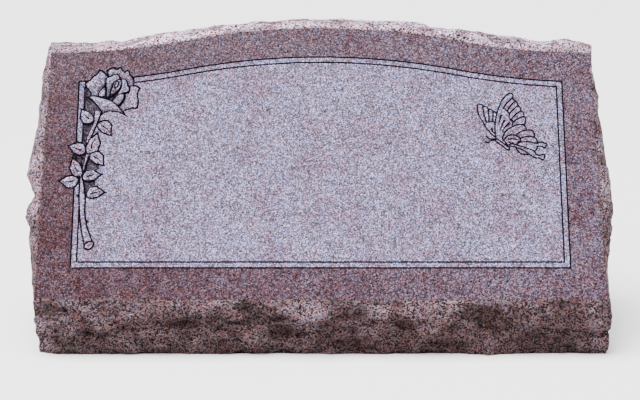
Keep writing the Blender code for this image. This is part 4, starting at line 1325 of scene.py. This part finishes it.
fineFlakes = {
    "Flake Size": 0.014,
    "Flake Depth": 0.0075,
    "Grit Size": 0.0060,
    "Grit Depth": 0.0060,
}

# the mean height of the noise and of the dishes, as shares of their depth
meanRise = {"Grit Depth": 0.5, "Flake Depth": 0.45}


def pitchTree():
    tree = bpy.data.node_groups.new("rockPitch", "GeometryNodeTree")
    tree.is_modifier = True
    tree.interface.new_socket("Geometry", in_out="INPUT", socket_type="NodeSocketGeometry")
    for name in fineFlakes:
        tree.interface.new_socket(name, in_out="INPUT", socket_type="NodeSocketFloat")
    tree.interface.new_socket("Seed", in_out="INPUT", socket_type="NodeSocketFloat")
    tree.interface.new_socket("Geometry", in_out="OUTPUT", socket_type="NodeSocketGeometry")
    given = addNode(tree, "NodeGroupInput").outputs
    where = addNode(tree, "GeometryNodeInputPosition").outputs[0]
    marks = {
        name: addNode(tree, "GeometryNodeInputNamedAttribute", {"data_type": kind}, {"Name": name})
        for name, kind in (("pitchShare", "FLOAT"), ("outward", "FLOAT_VECTOR"), ("finish", "INT"))
    }
    scales = {
        name: addNode(tree, "ShaderNodeMath", {"operation": "DIVIDE"}, {0: 1.0, 1: given[name]})
        for name in ("Flake Size", "Grit Size")
    }
    flake = addNode(tree, "ShaderNodeTexVoronoi", {"voronoi_dimensions": "4D"},
                    {"Vector": where, "W": given["Seed"], "Scale": scales["Flake Size"].outputs[0]})
    dish = addNode(tree, "ShaderNodeMath", {"operation": "POWER"},
                   {0: flake.outputs["Distance"], 1: 2.0})
    deep = addNode(tree, "ShaderNodeMath", {"operation": "MULTIPLY"},
                   {0: dish.outputs[0], 1: given["Flake Depth"]})
    grit = addNode(tree, "ShaderNodeTexNoise", {"noise_dimensions": "4D"},
                   {"Vector": where, "W": given["Seed"], "Scale": scales["Grit Size"].outputs[0],
                    "Detail": 3.0})
    rough = addNode(tree, "ShaderNodeMath", {"operation": "MULTIPLY_ADD"},
                    {0: grit.outputs[0], 1: given["Grit Depth"], 2: deep.outputs[0]})
    # less the mean of both, so that the stone moves as far in as out
    level = addNode(tree, "ShaderNodeMath", {"operation": "MULTIPLY_ADD"},
                    {0: given["Grit Depth"], 1: -meanRise["Grit Depth"], 2: rough.outputs[0]})
    inward = addNode(tree, "ShaderNodeMath", {"operation": "MULTIPLY_ADD"},
                     {0: given["Flake Depth"], 1: -meanRise["Flake Depth"], 2: level.outputs[0]})
    share = addNode(tree, "ShaderNodeMath", {"operation": "MULTIPLY"},
                    {0: inward.outputs[0], 1: marks["pitchShare"].outputs[0]})
    move = addNode(tree, "ShaderNodeVectorMath", {"operation": "SCALE"},
                   {0: marks["outward"].outputs[0], "Scale": share.outputs[0]})
    moved = addNode(tree, "GeometryNodeSetPosition", None,
                    {"Geometry": given["Geometry"], "Offset": move.outputs[0]})
    shape = addNode(tree, "GeometryNodeRealizeInstances", None, {0: moved.outputs[0]}).outputs[0]
    for k, material in enumerate(finishes.values()):
        chosen = addNode(tree, "FunctionNodeCompare", {"data_type": "INT", "operation": "EQUAL"},
                         {2: marks["finish"].outputs[0], 3: k})
        dressed = addNode(tree, "GeometryNodeSetMaterial", None,
                          {"Geometry": shape, "Selection": chosen.outputs[0], "Material": material})
        shape = dressed.outputs[0]
    tree.links.new(shape, addNode(tree, "NodeGroupOutput").inputs[0])
    return tree


def keepArrises(mesh):
    # The edges where one finish meets another stay sharp, so the flat face shades flat
    count = len(mesh.loops)
    edges, finish = np.empty(count, np.int32), np.empty(len(mesh.polygons), np.int32)
    mesh.loops.foreach_get("edge_index", edges)
    mesh.polygons.foreach_get("material_index", finish)
    perLoop = np.repeat(finish, 3)
    least, most = np.full(len(mesh.edges), 99), np.full(len(mesh.edges), -1)
    np.minimum.at(least, edges, perLoop)
    np.maximum.at(most, edges, perLoop)
    sharp = np.empty(len(mesh.edges), bool)
    mesh.edges.foreach_get("use_edge_sharp", sharp)
    mesh.edges.foreach_set("use_edge_sharp", sharp | (least != most))
    mesh.update()


def makeStone():
    points = np.array(block.points, float)
    faces = np.array(block.faces)
    finish = faceFinish(block, carving, points, faces)
    rock = np.array([bool(p & {"nose", "end", "top"}) and "face" not in p for p in block.patches])
    onlyFace = np.array([p == {"face"} for p in block.patches])
    flat = np.stack([points[onlyFace, 0], faceT(points[onlyFace, 2])], axis=1)
    cut, sunk = carving.depth(flat)
    points[onlyFace] -= cut[:, None] * faceNormal
    moved, way, marks = broken(points[rock], [p for p, use in zip(block.patches, rock) if use])
    points[rock] = moved
    mesh = bpy.data.meshes.new("dressedHeadstone")
    mesh.from_pydata([tuple(p) for p in points], [], block.faces)
    outward = np.zeros((len(points), 3))
    outward[rock] = way
    ways = mesh.attributes.new("outward", "FLOAT_VECTOR", "POINT")
    ways.data.foreach_set("vector", outward.ravel())
    edge = np.array([bool(p & {"back", "bed"}) for p in block.patches])
    offArris = smooth(marks["fromArris"] / pitchSizes["cragArris"])
    marks["pitchShare"] = marks["craggy"] * offArris * ~edge[rock]
    places = {"sunk": (onlyFace, sunk), **{name: (rock, mark) for name, mark in marks.items()}}
    for name, (where, values) in places.items():
        spread = np.zeros(len(points))
        spread[where] = values
        mesh.attributes.new(name, "FLOAT", "POINT").data.foreach_set("value", spread)
    mesh.attributes.new("finish", "INT", "FACE").data.foreach_set("value", finish)
    stone = bpy.data.objects.new("dressedHeadstone", mesh)
    bpy.context.scene.collection.objects.link(stone)
    tree = pitchTree()
    modifier = stone.modifiers.new("rockPitch", "NODES")
    modifier.node_group = tree
    values = {**fineFlakes, "Seed": seeds["flakeTree"]}
    for item in tree.interface.items_tree:
        if item.in_out == "INPUT" and item.name in values:
            modifier[item.identifier] = values[item.name]
    bpy.context.view_layer.update()
    ready = stone.evaluated_get(bpy.context.evaluated_depsgraph_get())
    plain = bpy.data.meshes.new_from_object(ready)
    stone.modifiers.clear()
    stone.data = plain
    low, high = (np.array(c) for c in cadBox)
    spots = np.empty(len(plain.vertices) * 3)
    plain.vertices.foreach_get("co", spots)
    inset = pitchSizes["boxInset"]
    spots = np.clip(spots.reshape(-1, 3), low + inset, high - inset)
    plain.vertices.foreach_set("co", spots.ravel())
    plain.shade_smooth()
    plain.set_sharp_from_angle(angle=math.radians(pitchSizes["sharpAngle"]))
    keepArrises(plain)
    print("stone:", len(plain.polygons), "triangles")
    return stone


stone = makeStone()
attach(stone, "root")
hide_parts("slant_headstone")


# Studio: pale floor, a soft light overhead and a soft panel at each side

studio = {
    "floorColour": "#f6f5f4",
    "floorRoughness": 0.9,
    "floorSize": 24,
    "overheadPlace": (-0.7, 0.0, 3.0),
    "overheadPower": 11.0,
    "overheadSpread": 55.0,  # degrees across, so that its shadows are soft
    "panelSize": 1.3,
    "panelAim": (0, 0, 0.2),
    "leftPlace": (-2.6, -0.7, 1.2),
    "leftPower": 62.0,
    "rightPlace": (2.6, -0.9, 1.4),
    "rightPower": 38.0,
    "worldColour": (0.95, 0.97, 1.0, 1),
    "worldStrength": 0.27,
}


def softLight(name, kind, place, aim, power):
    data = bpy.data.lights.new(name, kind)
    data.energy = power
    light = bpy.data.objects.new(name, data)
    light.location = place
    light.rotation_mode = "QUATERNION"
    light.rotation_quaternion = (Vector(aim) - Vector(place)).to_track_quat("-Z", "Y")
    bpy.context.scene.collection.objects.link(light)
    return data


def makeStudio():
    bpy.ops.mesh.primitive_plane_add(size=studio["floorSize"], location=(0, 0, 0))
    floor = bpy.context.object
    floor.name = "floor"
    material = bpy.data.materials.new("paleFloor")
    material.use_nodes = True
    shader = material.node_tree.nodes["Principled BSDF"]
    shader.inputs["Base Color"].default_value = hexColour(studio["floorColour"])
    shader.inputs["Roughness"].default_value = studio["floorRoughness"]
    floor.data.materials.append(material)
    overhead = softLight("overheadLight", "SUN", studio["overheadPlace"], (0, 0, 0),
                         studio["overheadPower"])
    overhead.angle = math.radians(studio["overheadSpread"])
    for side in ("left", "right"):
        panel = softLight(f"{side}Panel", "AREA", studio[f"{side}Place"], studio["panelAim"],
                          studio[f"{side}Power"])
        panel.size = studio["panelSize"]
    world = bpy.data.worlds.new("studio")
    world.use_nodes = True
    background = world.node_tree.nodes["Background"]
    background.inputs["Color"].default_value = studio["worldColour"]
    background.inputs["Strength"].default_value = studio["worldStrength"]
    bpy.context.scene.world = world


# The camera: the photograph's view, from straight in front and a little above

cameraFit = {
    "lens": 82.9,
    "sensorWidth": 36,
    "down": 15.55,  # degrees
    "aim": (0, 0, 0.178),
    "distance": 2.053,
    "shift": -0.5 / 640,  # half a pixel of the photograph
}


def makeCamera():
    data = bpy.data.cameras.new("camera")
    data.lens = cameraFit["lens"]
    data.sensor_width = cameraFit["sensorWidth"]
    data.shift_x = cameraFit["shift"]
    camera = bpy.data.objects.new("camera", data)
    down = math.radians(cameraFit["down"])
    view = Vector((0, math.cos(down), -math.sin(down)))
    camera.location = Vector(cameraFit["aim"]) - view * cameraFit["distance"]
    camera.rotation_mode = "QUATERNION"
    camera.rotation_quaternion = view.to_track_quat("-Z", "Y")
    bpy.context.scene.collection.objects.link(camera)
    bpy.context.scene.camera = camera


makeStudio()
makeCamera()
print("studio and camera set")
